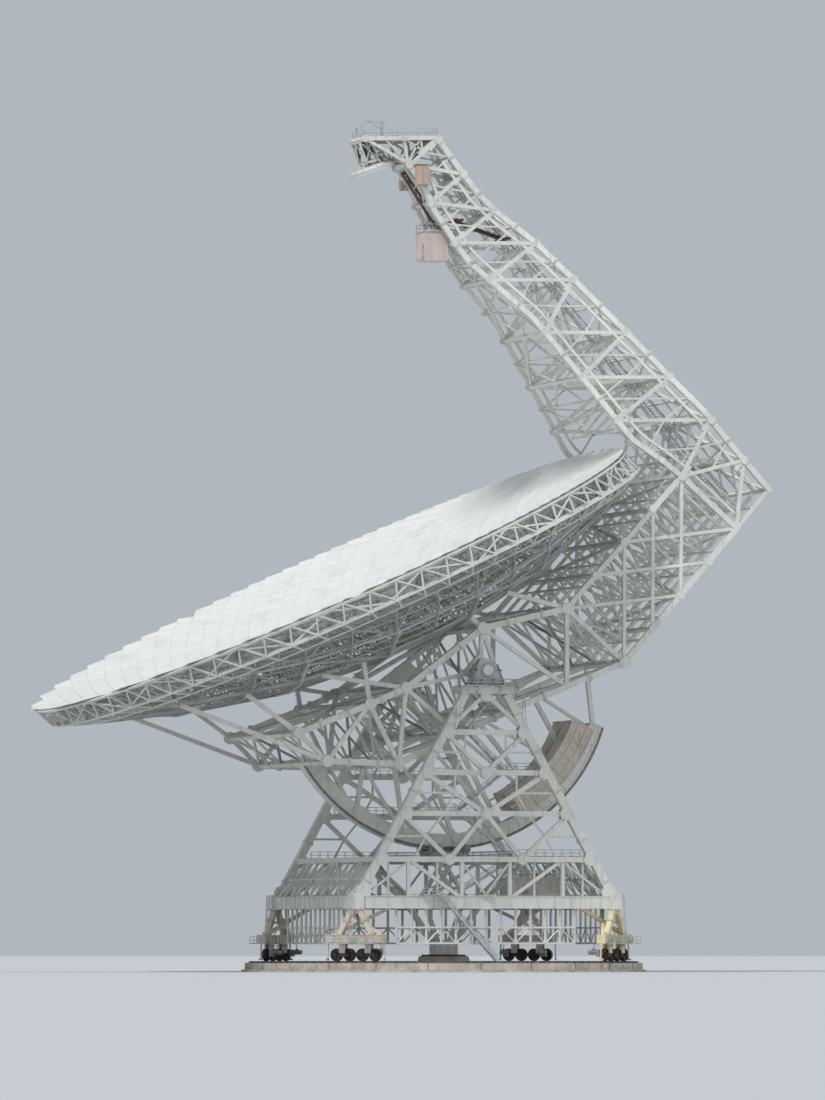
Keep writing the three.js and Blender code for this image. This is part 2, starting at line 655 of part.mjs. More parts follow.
// One rib of the back frame: a flat truss with a chord under the purlins and a lower chord
function ribGeometry(s) {
  const stations = ribStations(s);
  const last = stations.length - 1;
  const rise = stations.map((q, i) => {
    const [from, to] = i < last ? [q, stations[i + 1]] : [stations[i - 1], q];
    return (facet(to, s) - facet(from, s)) / (to - from);
  });
  const fallS = (facet(DISH_MID_Q, Math.abs(s)) - facet(DISH_MID_Q, Math.abs(s) - RIB_CHORD)) / 2;
  const drop = PURLIN_DEEP + SEAT_GAP + Math.max(0, fallS);
  const top = stations.map((q, i) => [q, purlinTop(q, s) - drop - (rise[i] * PURLIN_WIDE) / 2]);
  const middles = stations.slice(1).map((q, i) => (q + stations[i]) / 2);
  const low = [stations[0], ...middles, stations[last]].map((q) => [q, lowerFrame(q, s)]);
  const under = low.map(([q, b]) => [q, b - (RIB_CHORD / 2) * Math.hypot(1, ribSlope(q, s))]);
  const chord = RIB_CHORD;
  const web = RIB_WEB / 2;
  const holes = [];
  for (let i = 0; i < last; i += 1) {
    holes.push(insetTriangle([low[i + 1], top[i + 1], top[i]], [web, chord, web]));
    const [from, to] = [low[i], low[i + 1]];
    holes.push(insetTriangle([from, to, top[i]], [chord / 2, web, web]));
  }
  holes.push(insetTriangle([low[last], low[last + 1], top[last]], [chord / 2, web, web]));
  return plate([...under, ...top.slice().reverse()], holes, -s - chord / 2, -s + chord / 2, Q_B_TO_S);
}

function rimTrussBars() {
  const step = (2 * Math.PI) / RIM_TRUSS_BAYS;
  const spot = (i, drop) => {
    const q = DISH_MID_Q + RIM_TRUSS_RADIUS * Math.cos(i * step);
    const s = RIM_TRUSS_RADIUS * Math.sin(i * step);
    return [q, s, facet(q, s) - drop];
  };
  const topDrop = SKIN_THICK + 60;
  const lowDrop = RIM_DEPTH + 10;
  const bays = [...Array(RIM_TRUSS_BAYS).keys()];
  const bars = [chain(bays.map((i) => spot(i, topDrop)), 50, 40, UP, 0, true)];
  bars.push(chain(bays.map((i) => spot(i + 0.5, lowDrop)), 45, 40, UP, 0, true));
  for (const i of bays) {
    bars.push(bar(spot(i, topDrop), spot(i + 0.5, lowDrop), 30, 30, UP));
    bars.push(bar(spot(i + 0.5, lowDrop), spot(i + 1, topDrop), 30, 30, UP));
  }
  return bars;
}

function lateralBars() {
  const reach = 4700;
  const bars = [];
  const spot = (q, s) => {
    const slope = ribSlope(q, s);
    const outer = RIB_PLACES.find((place) => place > Math.abs(s)) ?? Math.abs(s) + 1;
    const rise = (lowerFrame(q, outer) - lowerFrame(q, s)) / (outer - Math.abs(s));
    const fall = (slope * LATERAL + rise * RIB_CHORD) / 2;
    const under = lowerFrame(q, s) - (RIB_CHORD / 2) * Math.hypot(1, slope) - fall;
    return [q, s, under - SEAT_GAP - LATERAL / 2];
  };
  const rows = [];
  for (const k of [-2.5, -1.5, -0.5, 0.5, 1.5, 2.5]) {
    const q = DISH_MID_Q + k * GRID_Q;
    const half = Math.sqrt(reach * reach - (q - DISH_MID_Q) ** 2);
    rows.push({ q, places: RIB_PLACES.filter((s) => Math.abs(s) < half) });
  }
  rows.forEach(({ q, places }, row) => {
    bars.push(chain(places.map((s) => spot(q, s)), LATERAL, LATERAL, [1, 0, 0], 1));
    const next = rows[row + 1];
    if (next) {
      const shared = places.filter((s) => next.places.includes(s));
      for (let j = row % 2; j + 1 < shared.length; j += 2) {
        bars.push(bar(spot(q, shared[j]), spot(next.q, shared[j + 1]), 26, 26, UP));
      }
    }
  });
  return bars;
}

function boxSideBars(side) {
  const s = side * BOX_OFFSET;
  const at = ([q, b]) => [q, s, b];
  const bars = [];
  const web = (a, b) => bars.push(bar(at(a), at(b), 70, 70, ACROSS));
  for (const line of [BOX_LOW, BOX_TOP]) {
    bars.push(chain(line.map(at), 110, 100, ACROSS, 1));
  }
  const [n1, n2, b1, b2, b3] = BOX_LOW;
  const [t0, t1, t2, t3, t4] = BOX_TOP;
  const hub = [0, 0];
  const midLow = [lerp(b2[0], b3[0], 0.5), lerp(b2[1], b3[1], 0.5)];
  web(n1, t0);
  web(n1, t1);
  web(n2, t1);
  web(n2, t2);
  web(b1, t2);
  web(b1, hub);
  web(t2, hub);
  web(b2, hub);
  web(t3, hub);
  web(t3, midLow);
  web(t4, midLow);
  web(t4, b3);
  web(b2, t3);
  const up = (from, q) => web(from, [q, lowerFrame(q, s)]);
  up(n1, 3900);
  up(t0, 3000);
  up(t1, 1250);
  up(t2, 1900);
  up(t3, -560);
  up(t4, -1300);
  bars.push(bar(at([-210, 0]), at([210, 0]), 120, 420, ACROSS));
  return bars;
}

function trunnionSolid(side) {
  const shaft = new THREE.CylinderGeometry(TRUNNION_RADIUS, TRUNNION_RADIUS, 450, 32);
  shaft.translate(0, side * (BOX_OFFSET + 225), 0);
  const collar = new THREE.CylinderGeometry(150, 150, 144, 24);
  collar.translate(0, side * (BOX_OFFSET + 122), 0);
  return toSolid(shaft).add(toSolid(collar));
}

// Rungs, a middle stringer and zigzag bracing between a left and a right line of points
function folded(points, half, wide, thin, stringer) {
  const spot = ([q, b], s = 0) => [q, s, b];
  const bars = stringer ? [chain(points.map((point) => spot(point)), wide, wide, ACROSS)] : [];
  for (let i = 0; i < points.length; i += 1) {
    const reach = half(points[i]);
    bars.push(bar(spot(points[i], -reach), spot(points[i], reach), wide, wide, UP));
    if (i + 1 < points.length) {
      const next = half(points[i + 1]);
      const inset = 75;
      if (stringer) {
        for (const side of SIGNS) {
          const [a, b] = i % 2 ? [0, side * (next - inset)] : [side * (reach - inset), 0];
          bars.push(bar(spot(points[i], a), spot(points[i + 1], b), thin, thin, UP));
        }
      } else {
        const side = i % 2 ? 1 : -1;
        bars.push(bar(spot(points[i], side * (reach - inset)), spot(points[i + 1], -side * (next - inset)),
          thin, thin, UP));
      }
    }
  }
  return bars;
}

const polar = (radius, degrees) => {
  const angle = THREE.MathUtils.degToRad(degrees);
  return [radius * Math.sin(angle), -radius * Math.cos(angle)];
};

function sectorOutline(inner, outer, start, end, steps) {
  const points = [];
  for (let i = 0; i <= steps; i += 1) {
    points.push(polar(outer, lerp(start, end, i / steps)));
  }
  for (let i = steps; i >= 0; i -= 1) {
    points.push(polar(inner, lerp(start, end, i / steps)));
  }
  return points;
}

function bullWheelSolid() {
  const rim = plate(sectorOutline(WHEEL_INNER, WHEEL_OUTER, WHEEL_START, WHEEL_END, 24), [],
    -BULL_WIDE / 2, BULL_WIDE / 2, Q_B_TO_S);
  const [n1, n2, b1, b2, b3] = BOX_LOW;
  const middle = (a, b) => [(a[0] + b[0]) / 2, (a[1] + b[1]) / 2];
  const feet = [b3, middle(b3, b2), b2, middle(b2, b1), b1, middle(b1, n2), n2, middle(n2, n1)];
  const angles = [-22, -6, 10, 27, 45, 63, 82, 101];
  const bars = [];
  const spot = ([q, b]) => [q, 0, b];
  const ring = (WHEEL_INNER + WHEEL_OUTER) / 2;
  feet.forEach((foot, i) => {
    bars.push(bar(spot(foot), spot(polar(ring, angles[i])), 80, 70, ACROSS));
    if (i > 0) {
      bars.push(bar(spot(feet[i]), spot(polar(ring, angles[i - 1])), 60, 50, ACROSS));
    }
  });
  return toSolid(rim).add(joinBars(bars));
}

function counterweightGeometry(side) {
  const steps = 7;
  const sag = Math.cos(THREE.MathUtils.degToRad(3));
  const outer = WHEEL_INNER * sag - SEAT_GAP;
  const outline = sectorOutline(2260, outer, -21, 21, steps);
  const near = 42;
  const far = 480;
  const from = side > 0 ? -far : near;
  return plate(outline, [], from, from + far - near, Q_B_TO_S);
}

// Feed arm

// Straight between the listed points, and level beyond them
function between(points, x) {
  const last = points.length - 1;
  const i = points.findIndex((point, k) => k < last && x <= points[k + 1][0]);
  if (i < 0) {
    return points[last][1];
  }
  const [[x0, y0], [x1, y1]] = [points[i], points[i + 1]];
  return x <= x0 ? y0 : lerp(y0, y1, (x - x0) / (x1 - x0));
}

// A point of the tipping frame moved up, as the frame stands at rest
const along = ([q, b], rise) => [q - rise * Math.cos(REST_ELEVATION), 0, b + rise * Math.sin(REST_ELEVATION)];
const flipped = (line) => line.map(([q, b]) => [b, q]);
const armHalf = (b) => between(ARM_HALVES, b);
const frontAt = (b) => [between(flipped(ARM_FRONT), b), b];
const rearAt = (b) => [between(flipped(ARM_REAR), b), b];

function armSideBars(side) {
  const at = ([q, b]) => [q, side * armHalf(b), b];
  const bars = [];
  const folds = ARM_HALVES.slice(0, 2).map(([b]) => b);
  const run = (line, lineAt, deep) => {
    const levels = [...line.map(([, b]) => b), ...folds].sort((a, b) => a - b);
    bars.push(chain(levels.map((b) => at(lineAt(b))), 80, deep, ACROSS, 1));
  };
  run(ARM_FRONT, frontAt, 85);
  run(ARM_REAR, rearAt, 90);
  const web = (a, b) => bars.push(bar(at(a), at(b), 58, 58, ACROSS));
  FRONT_NODES.forEach((b, i) => {
    web(frontAt(b), rearAt(REAR_NODES[i]));
    web(frontAt(b), rearAt(REAR_NODES[i + 1]));
  });
  const foot = frontAt(BEAM_LOW);
  web(foot, rearAt(BEAM_LOW));
  web(foot, rearAt(REAR_NODES[0]));
  return bars;
}

// Rungs between a left and a right line of points, and a pair of struts from the middle of each
// rung to the ends of the one before it
function armFaceBars(points, wide, thin) {
  const bars = [];
  points.forEach(([q, b], i) => {
    const half = armHalf(b);
    bars.push(bar([q, -half, b], [q, half, b], wide, wide, UP));
    if (i > 0) {
      const [q0, b0] = points[i - 1];
      for (const side of SIGNS) {
        bars.push(bar([q, side * 60, b], [q0, side * (armHalf(b0) - 80), b0], thin, thin, UP));
      }
    }
  });
  return bars;
}

const beamTop = (q) => lerp(BEAM_TOP[0], BEAM_TOP[1], (q - BEAM_NODES[0]) / (BEAM_NODES[4] - BEAM_NODES[0]));

function beamSideBars(side) {
  const top = (i) => [BEAM_NODES[i], side * BOX_OFFSET, beamTop(BEAM_NODES[i])];
  const low = (i) => [BEAM_NODES[i], side * BOX_OFFSET, BEAM_LOW];
  const bars = [];
  bars.push(bar(top(0), top(4), 80, 80, ACROSS, 1));
  bars.push(bar(low(0), low(4), 80, 90, ACROSS, 1));
  for (let i = 0; i < 3; i += 1) {
    bars.push(bar(top(i), low(i + 2), 55, 55, ACROSS));
    bars.push(bar(low(i), top(i + 2), 55, 55, ACROSS));
  }
  bars.push(bar(top(0), low(0), 70, 70, ACROSS));
  return bars;
}

function headBars() {
  const bars = [];
  const half = HEAD_HALF;
  for (const side of SIGNS) {
    const run = ([q1, b1], [q2, b2], thick) => bars.push(
      bar([q1, side * half, b1], [q2, side * half, b2], thick, thick, ACROSS, 1));
    run(HEAD_REAR, HEAD_NOSE, 70);
    run(HEAD_FRONT, HEAD_REAR, 60);
    run(HEAD_FRONT, HEAD_MID, 50);
    run(HEAD_FRONT, HEAD_NOSE, 45);
  }
  for (const [q, b] of [HEAD_REAR, HEAD_MID, HEAD_NOSE, HEAD_FRONT]) {
    bars.push(bar([q, -half, b], [q, half, b], 60, 60, UP));
  }
  return bars;
}

function subreflectorGeometry() {
  const points = [[0, 0], [140, 8], [280, 34], [390, 68], [400, 20], [280, -26], [140, -54], [0, -62]];
  const profile = points.map(([r, y]) => new THREE.Vector2(r, -y));
  const bowl = new THREE.LatheGeometry(profile, 28);
  bowl.rotateX(Math.PI / 2).rotateY(SUB_TILT).translate(...SUB_CENTRE);
  return bowl;
}

function addDish(group) {
  const reflector = reflectorSolid();
  addSolid(group, 'reflector_surface', reflector, dishSkin());
  const rim = rimTrussBars();
  const rimSolid = fitted(joinBars(rim), [reflector.translate([0, 0, -SEAT_GAP])]);
  addSolid(group, 'rim_truss', rimSolid, webSteel());
  addSolid(group, 'reflector_purlins', fitted(purlinSolid(), [grown(rim)]), greySteel());
  const ribs = RIB_PLACES.map((s) => toSolid(ribGeometry(s)));
  ribs.forEach((rib, i) => addSolid(group, `dish_rib_${RIB_NAMES[i]}`, rib, greySteel()));
  const laterals = lateralBars();
  addSolid(group, 'dish_lower_bracing', joinBars(laterals), greySteel());
  return { ribCuts: { 1: spread(ribs[5]), [-1]: spread(ribs[1]) }, lateralCut: grown(laterals) };
}

function addBox(group, { ribCuts, lateralCut }) {
  const under = folded(BOX_LOW, () => BOX_OFFSET, BOX_RUNG, BOX_BRACE, true);
  const over = folded(BOX_TOP, () => BOX_OFFSET, BOX_RUNG, BOX_BRACE, true);
  const cuts = {};
  for (const side of SIGNS) {
    const frame = boxSideBars(side);
    cuts[side] = grown(frame);
    const solid = fitted(joinBars(frame), [ribCuts[side], lateralCut]).add(trunnionSolid(side));
    addSolid(group, `box_frame_${leftRight(side)}`, solid, whiteSteel());
  }
  const both = [cuts[1], cuts[-1]];
  addSolid(group, 'box_under_bracing', fitted(joinBars(under), both), webSteel());
  addSolid(group, 'box_top_bracing', fitted(joinBars(over), both), webSteel());
  addSolid(group, 'elevation_wheel', fitted(bullWheelSolid(), [grown(under)]), whiteSteel());
  for (const side of SIGNS) {
    addSolid(group, `counterweight_${leftRight(side)}`, toSolid(counterweightGeometry(side)), whiteSteel());
  }
  return { cuts, faces: [grown(under), grown(over)] };
}

function addArm(group, box) {
  const arms = [];
  const beams = [];
  for (const side of SIGNS) {
    const arm = armSideBars(side);
    const beam = beamSideBars(side);
    arms.push(grown(arm));
    beams.push(grown(beam));
    const cutters = [box.cuts[side], grown(arm), ...box.faces];
    addSolid(group, `feed_arm_side_${leftRight(side)}`, joinBars(arm), whiteSteel());
    addSolid(group, `arm_beam_side_${leftRight(side)}`, fitted(joinBars(beam), cutters), whiteSteel());
  }
  const faces = {
    feed_arm_front_bracing: armFaceBars(FRONT_NODES.slice(2).map(frontAt), ARM_RUNG, ARM_BRACE),
    feed_arm_rear_bracing: armFaceBars([BEAM_LOW, ...REAR_NODES].map(rearAt), ARM_RUNG, ARM_BRACE),
  };
  for (const [name, bars] of Object.entries(faces)) {
    addSolid(group, name, fitted(joinBars(bars), arms), webSteel());
  }
  const decks = { arm_beam_lower_bracing: () => BEAM_LOW, arm_beam_upper_bracing: beamTop };
  for (const [name, level] of Object.entries(decks)) {
    const points = BEAM_NODES.slice(1).map((q) => [q, level(q)]);
    const bars = folded(points, () => BOX_OFFSET, ARM_RUNG, ARM_BRACE, false);
    addSolid(group, name, fitted(joinBars(bars), [...arms, ...beams]), webSteel());
  }
  return { arms, frontCut: grown(faces.feed_arm_front_bracing), rearCut: grown(faces.feed_arm_rear_bracing) };
}

function addHead(group, { arms, frontCut, rearCut }) {
  const head = headBars();
  const headCut = grown(head);
  addSolid(group, 'arm_head_frame', fitted(joinBars(head), [...arms, frontCut, rearCut]), whiteSteel());
  const room = bar(along(CABIN_MIDDLE, -CABIN_HIGH / 2), along(CABIN_MIDDLE, CABIN_HIGH / 2),
    CABIN_LONG, CABIN_WIDE, ACROSS);
  addSolid(group, 'receiver_room', fitted(joinBars([room]), [...arms, frontCut]), cabinPanel());
  const boom = bar(BOOM_ROOT, BOOM_TIP, BOOM_THICK, BOOM_THICK, ACROSS);
  const boomSolid = fitted(joinBars([boom]), [...arms, frontCut, headCut]);
  addSolid(group, 'prime_focus_boom', boomSolid, darkSteel());
  const subreflector = toSolid(subreflectorGeometry());
  addSolid(group, 'subreflector', subreflector, dishSkin());
  const mount = bar(SUB_MOUNT[0], SUB_MOUNT[1], SUB_MOUNT_WIDE, SUB_MOUNT_DEEP, ACROSS);
  const mountSolid = fitted(joinBars([mount]), [headCut, subreflector.translate([-0.1, 0, SEAT_GAP])]);
  addSolid(group, 'subreflector_mount', mountSolid, greySteel());
}

function addTipping(group) {
  const dish = addDish(group);
  const box = addBox(group, dish);
  const arm = addArm(group, box);
  addHead(group, arm);
}

const telescope = new THREE.Group();
addFoundation(telescope);

const alidade = new THREE.Group();
alidade.rotation.z = Math.PI;
alidade.position.z = RAIL_TOP;
telescope.add(alidade);
addAlidade(alidade);

const tipping = new THREE.Group();
tipping.rotation.y = Math.PI / 2 - REST_ELEVATION;
tipping.position.z = AXIS_LEVEL;
alidade.add(tipping);
addTipping(tipping);

export default telescope;
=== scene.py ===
"""Dresses a fully steerable radio telescope of one tenth real size, and sets camera, floor and lights.

Lengths are metres of the model, so 0.1 m is one real metre. The turning frame is drawn in
(f, s, u): forward, to the left side, and up from the rail. The tipping frame is drawn in
(q, s, b): across the feed arm, to the left side, and along the beam, from the elevation axis.
"""
import json
import logging
import math
from dataclasses import dataclass, field
from enum import Enum
from itertools import pairwise, product
from typing import Any, Iterable, Sequence

import bpy
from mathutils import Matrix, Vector


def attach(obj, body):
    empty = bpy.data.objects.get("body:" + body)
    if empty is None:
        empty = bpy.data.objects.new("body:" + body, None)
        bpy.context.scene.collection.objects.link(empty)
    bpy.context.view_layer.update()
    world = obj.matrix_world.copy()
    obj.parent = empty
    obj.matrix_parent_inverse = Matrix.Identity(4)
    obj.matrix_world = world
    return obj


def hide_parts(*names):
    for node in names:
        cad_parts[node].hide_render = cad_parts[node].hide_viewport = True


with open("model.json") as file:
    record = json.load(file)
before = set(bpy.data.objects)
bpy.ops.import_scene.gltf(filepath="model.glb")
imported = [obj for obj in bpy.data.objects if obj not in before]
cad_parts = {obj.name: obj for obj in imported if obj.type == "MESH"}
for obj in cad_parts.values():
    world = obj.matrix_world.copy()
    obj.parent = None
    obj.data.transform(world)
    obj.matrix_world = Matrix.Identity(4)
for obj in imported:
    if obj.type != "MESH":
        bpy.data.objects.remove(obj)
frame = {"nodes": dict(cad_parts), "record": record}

log = logging.getLogger("telescope")

Point = Sequence[float]
Points = tuple[Point, ...]
Numbers = tuple[float, ...]
Socket = bpy.types.NodeSocket

RAIL_TOP = 0.18
TRACK = 3.2
AXIS_LEVEL = 4.83
REST_ELEVATION = math.radians(41.3)
UP = (0.0, 0.0, 1.0)
ACROSS = (0.0, 1.0, 0.0)
FORWARD = (1.0, 0.0, 0.0)
SIGNS = (1, -1)
BOTH_SIGNS = tuple(product(SIGNS, SIGNS))
# What is level at rest: up and forward of the turning frame, given in the tipping frame
LEVEL_UP = (-0.751, 0.0, 0.660)
LEVEL_FORWARD = (0.660, 0.0, 0.751)


class Body(Enum):
    """The bodies of the telescope that turn against each other."""

    FOUNDATION = "foundation"
    ALIDADE = "alidade"
    TIPPING = "tipping_structure"


def lerp(a: float, b: float, t: float) -> float:
    """Gives the value a share t of the way from a to b."""
    return a + (b - a) * t


def mix(a: Point, b: Point, t: float) -> Numbers:
    """Gives the point a share t of the way from a to b."""
    return tuple(lerp(x, y, t) for x, y in zip(a, b))


def spread(start: float, end: float, parts: int) -> list[float]:
    """Gives the values that cut the way from start to end into equal parts, both ends among them."""
    return [lerp(start, end, i / parts) for i in range(parts + 1)]


def circle(count: int, ahead: float = 0.0) -> list[float]:
    """Gives angles evenly round a full turn, the first one a share ahead of a step past zero."""
    return [2 * math.pi * (i + ahead) / count for i in range(count)]


def on_ground(point: Point) -> Vector:
    """Places a point that is already in the scene's own frame."""
    return Vector(point)


def on_alidade(point: Point) -> Vector:
    """Turns a point (f, s, u) of the turning frame into the scene's frame at rest."""
    f, s, u = point
    return Vector((-f, -s, u + RAIL_TOP))


def on_tipping(point: Point) -> Vector:
    """Turns a point of the tipping frame into the scene's frame at rest.

    Args:
        point: The point as (q, s, b).

    Returns:
        The same point as (x, y, z).
    """
    q, s, b = point
    lean = math.pi / 2 - REST_ELEVATION
    forward = q * math.cos(lean) + b * math.sin(lean)
    up = b * math.cos(lean) - q * math.sin(lean)
    return Vector((-forward, -s, up + AXIS_LEVEL + RAIL_TOP))


PLACES = {Body.FOUNDATION: on_ground, Body.ALIDADE: on_alidade, Body.TIPPING: on_tipping}


# Finishes

MIX_FACTOR, MIX_A, MIX_B, MIX_RESULT = 0, 6, 7, 2
NOISE_DETAIL = 4.0
BUMP_STRENGTH = 0.6


def linear(hex_colour: str) -> tuple[float, float, float, float]:
    """Turns an sRGB colour into the linear RGBA that shaders take.

    Args:
        hex_colour: Six hex digits, such as "dcdad2".

    Returns:
        Red, green and blue in linear light, and full opacity.
    """
    parts = [int(hex_colour[i:i + 2], 16) / 255 for i in (0, 2, 4)]
    red, green, blue = (c / 12.92 if c <= 0.04045 else ((c + 0.055) / 1.055) ** 2.4 for c in parts)
    return red, green, blue, 1.0


def per_metre(size_mm: float) -> float:
    """Gives the texture scale that makes one feature of a pattern size_mm long."""
    return 1000 / size_mm


def add(tree: bpy.types.NodeTree, kind: str, inputs: dict[Any, Any] | None = None,
        **settings: Any) -> bpy.types.Node:
    """Adds a shader node with its settings, values and links.

    Args:
        tree: The material's node tree.
        kind: The node's type, such as ShaderNodeTexNoise.
        inputs: Each socket's value, or the socket that feeds it.
        settings: Properties of the node.

    Returns:
        The new node.
    """
    made = tree.nodes.new(kind)
    for key, value in settings.items():
        setattr(made, key, value)
    for key, value in (inputs or {}).items():
        if isinstance(value, bpy.types.NodeSocket):
            tree.links.new(value, made.inputs[key])
        else:
            made.inputs[key].default_value = value
    return made


@dataclass(frozen=True)
class Patches:
    """A noise pattern on a surface, such as clouds, streaks, specks or grain.

    One patch is size_mm long. It begins at the noise value start and is whole at full, covers
    the share cover at most, and is finer by stretch along each axis.
    """

    size_mm: float
    start: float
    full: float
    cover: float = 1.0
    stretch: Point = (1, 1, 1)


@dataclass
class Surface:
    """The nodes of one material, on which a finish lays colours, gloss and relief."""

    tree: bpy.types.NodeTree
    shader: bpy.types.Node
    place: Socket
    colour: Any

    def mask(self, patches: Patches) -> Socket:
        """Adds the nodes of a noise pattern.

        Args:
            patches: The pattern.

        Returns:
            The socket with the mask, from 0 to 1.
        """
        moved = add(self.tree, "ShaderNodeMapping", {"Vector": self.place, "Scale": patches.stretch})
        grain = add(self.tree, "ShaderNodeTexNoise", {
            "Vector": moved.outputs[0], "Scale": per_metre(patches.size_mm), "Detail": NOISE_DETAIL})
        span = add(self.tree, "ShaderNodeMapRange", {
            "Value": grain.outputs["Fac"], "From Min": patches.start, "From Max": patches.full})
        return span.outputs["Result"]

    def lay(self, mask: Socket, cover: float, colour: str) -> None:
        """Lays a colour over those that are there.

        Args:
            mask: Where the colour goes, from 0 to 1.
            cover: The share that it covers at most.
            colour: The sRGB colour.
        """
        share = add(self.tree, "ShaderNodeMath", {0: mask, 1: cover}, operation="MULTIPLY")
        mixed = add(self.tree, "ShaderNodeMix", {
            MIX_FACTOR: share.outputs[0], MIX_A: self.colour, MIX_B: linear(colour)}, data_type="RGBA")
        self.colour = mixed.outputs[MIX_RESULT]
        self.tree.links.new(self.colour, self.shader.inputs["Base Color"])

    def stain(self, patches: Patches, colour: str) -> Socket:
        """Lays a colour over those that are there in a noise pattern.

        Args:
            patches: The pattern.
            colour: The sRGB colour.

        Returns:
            The socket with the pattern's mask.
        """
        mask = self.mask(patches)
        self.lay(mask, patches.cover, colour)
        return mask

    def dull(self, mask: Socket, least: float, most: float) -> None:
        """Makes the roughness go from least to most as the mask goes from 0 to 1."""
        rough = add(self.tree, "ShaderNodeMapRange", {"Value": mask, "To Min": least, "To Max": most})
        self.tree.links.new(rough.outputs[0], self.shader.inputs["Roughness"])

    def relief(self, height: Socket, depth_mm: float) -> None:
        """Raises the surface by bump only.

        Args:
            height: The mask that raises it.
            depth_mm: How far, or how deep it sinks where negative.
        """
        settings = {"Height": height, "Distance": depth_mm / 1000, "Strength": BUMP_STRENGTH}
        bump = add(self.tree, "ShaderNodeBump", settings)
        self.tree.links.new(bump.outputs[0], self.shader.inputs["Normal"])


@dataclass(frozen=True)
class Finish:
    """What every finish has: a name, the record's slot, a colour and how it reflects."""

    name: str
    slot: str
    colour: str
    roughness: float
    metallic: float = 0.0
    ior: float = 1.5

    def material(self) -> bpy.types.Material:
        """Makes the material at its first call.

        Returns:
            The material, the same one at every call.
        """
        found = bpy.data.materials.get(self.name)
        if found:
            return found
        made = bpy.data.materials.new(self.name)
        made.use_nodes = True
        tree = made.node_tree
        shader = tree.nodes["Principled BSDF"]
        base = linear(self.colour)
        shader.inputs["Base Color"].default_value = base
        shader.inputs["Roughness"].default_value = self.roughness
        shader.inputs["Metallic"].default_value = self.metallic
        if not self.metallic:
            shader.inputs["IOR"].default_value = self.ior
        made.diffuse_color = base
        place = add(tree, "ShaderNodeTexCoord").outputs["Object"]
        self.pattern(Surface(tree, shader, place, base))
        return made

    def pattern(self, surface: Surface) -> None:
        """Lays on the surface what varies its colour, gloss and relief."""


@dataclass(frozen=True)
class WeatheredPaint(Finish):
    """Sprayed epoxy paint on structural steel, out in the rain for years.

    The eye gets a chalky satin white, cloudy from bar to bar, with grey rain streaks and a
    few specks of rust at scratches. Clouds are about 700 mm long, streaks 60 by 500 mm, and
    specks 25 mm, which is coarser than real so that they show. The spray's grain is 9 mm.
    """

    cloud: str = "c3c4bf"
    streak: str = "a3a39c"
    rust: str = "8a6248"
    clouds: Patches = Patches(700, 0.4, 0.68, 0.55)
    streaks: Patches = Patches(60, 0.52, 0.75, 0.5, (1, 1, 0.12))
    specks: Patches = Patches(25, 0.7, 0.76, 0.7)
    grain: Patches = Patches(9, 0.3, 0.7)

    def pattern(self, surface: Surface) -> None:
        """Lays clouds, streaks and rust specks, with more chalk where it is cloudy.

        Args:
            surface: The material's nodes.
        """
        clouds = surface.stain(self.clouds, self.cloud)
        surface.stain(self.streaks, self.streak)
        surface.stain(self.specks, self.rust)
        surface.dull(clouds, self.roughness - 0.08, self.roughness + 0.14)
        surface.relief(surface.mask(self.grain), depth_mm=0.35)


@dataclass(frozen=True)
class DiffusingPaint(Finish):
    """Matt white diffusing paint rolled on aluminium reflector panels.

    The eye gets a bright, flat white whose panels differ a little in tone, with faint dirt
    where rain has dried, in patches of 400 mm. The roller's texture is 6 mm.
    """

    tone: str = "cfd2d2"
    dirt: str = "bdbdb5"
    dried: Patches = Patches(400, 0.5, 0.72, 0.3)
    grain: Patches = Patches(6, 0.3, 0.7)

    def pattern(self, surface: Surface) -> None:
        """Lays one tone a panel, dried dirt and the roller's texture.

        Args:
            surface: The material's nodes.
        """
        each = add(surface.tree, "ShaderNodeNewGeometry").outputs["Random Per Island"]
        surface.lay(each, 0.4, self.tone)
        surface.stain(self.dried, self.dirt)
        surface.relief(surface.mask(self.grain), depth_mm=0.2)


@dataclass(frozen=True)
class CastConcrete(Finish):
    """Concrete cast against boards, with damp stains low down.

    The eye gets a grey that is mottled every 250 mm, with dark stains of 120 by 400 mm and
    small open pores. The pores are 12 mm, which is coarser than real so that they show.
    """

    stain: str = "827b70"
    light: str = "c4beb2"
    mottle: Patches = Patches(250, 0.38, 0.65)
    stains: Patches = Patches(120, 0.5, 0.72, 0.65, (1, 1, 0.3))
    pores: Patches = Patches(12, 0.6, 0.68, 0.4)

    def pattern(self, surface: Surface) -> None:
        """Lays the mottling and the stains, and sinks the pores.

        Args:
            surface: The material's nodes.
        """
        surface.stain(self.mottle, self.light)
        surface.stain(self.stains, self.stain)
        pores = surface.stain(self.pores, self.stain)
        surface.relief(pores, depth_mm=-1.0)


@dataclass(frozen=True)
class RolledSteel(Finish):
    """Bare rolled steel rail, polished by the wheels and brown with rust beside their path.

    The eye gets a grey metal band with brown blotches of 90 mm that are rougher than the
    rest, and rolling lines of 10 mm.
    """

    rust: str = "6d4a36"
    blotches: Patches = Patches(90, 0.42, 0.62, 0.75)
    lines: Patches = Patches(10, 0.35, 0.65)

    def pattern(self, surface: Surface) -> None:
        """Lays the blotches, dull where they are, and the rolling lines.

        Args:
            surface: The material's nodes.
        """
        blotches = surface.stain(self.blotches, self.rust)
        surface.dull(blotches, self.roughness, self.roughness + 0.35)
        surface.relief(surface.mask(self.lines), depth_mm=0.4)


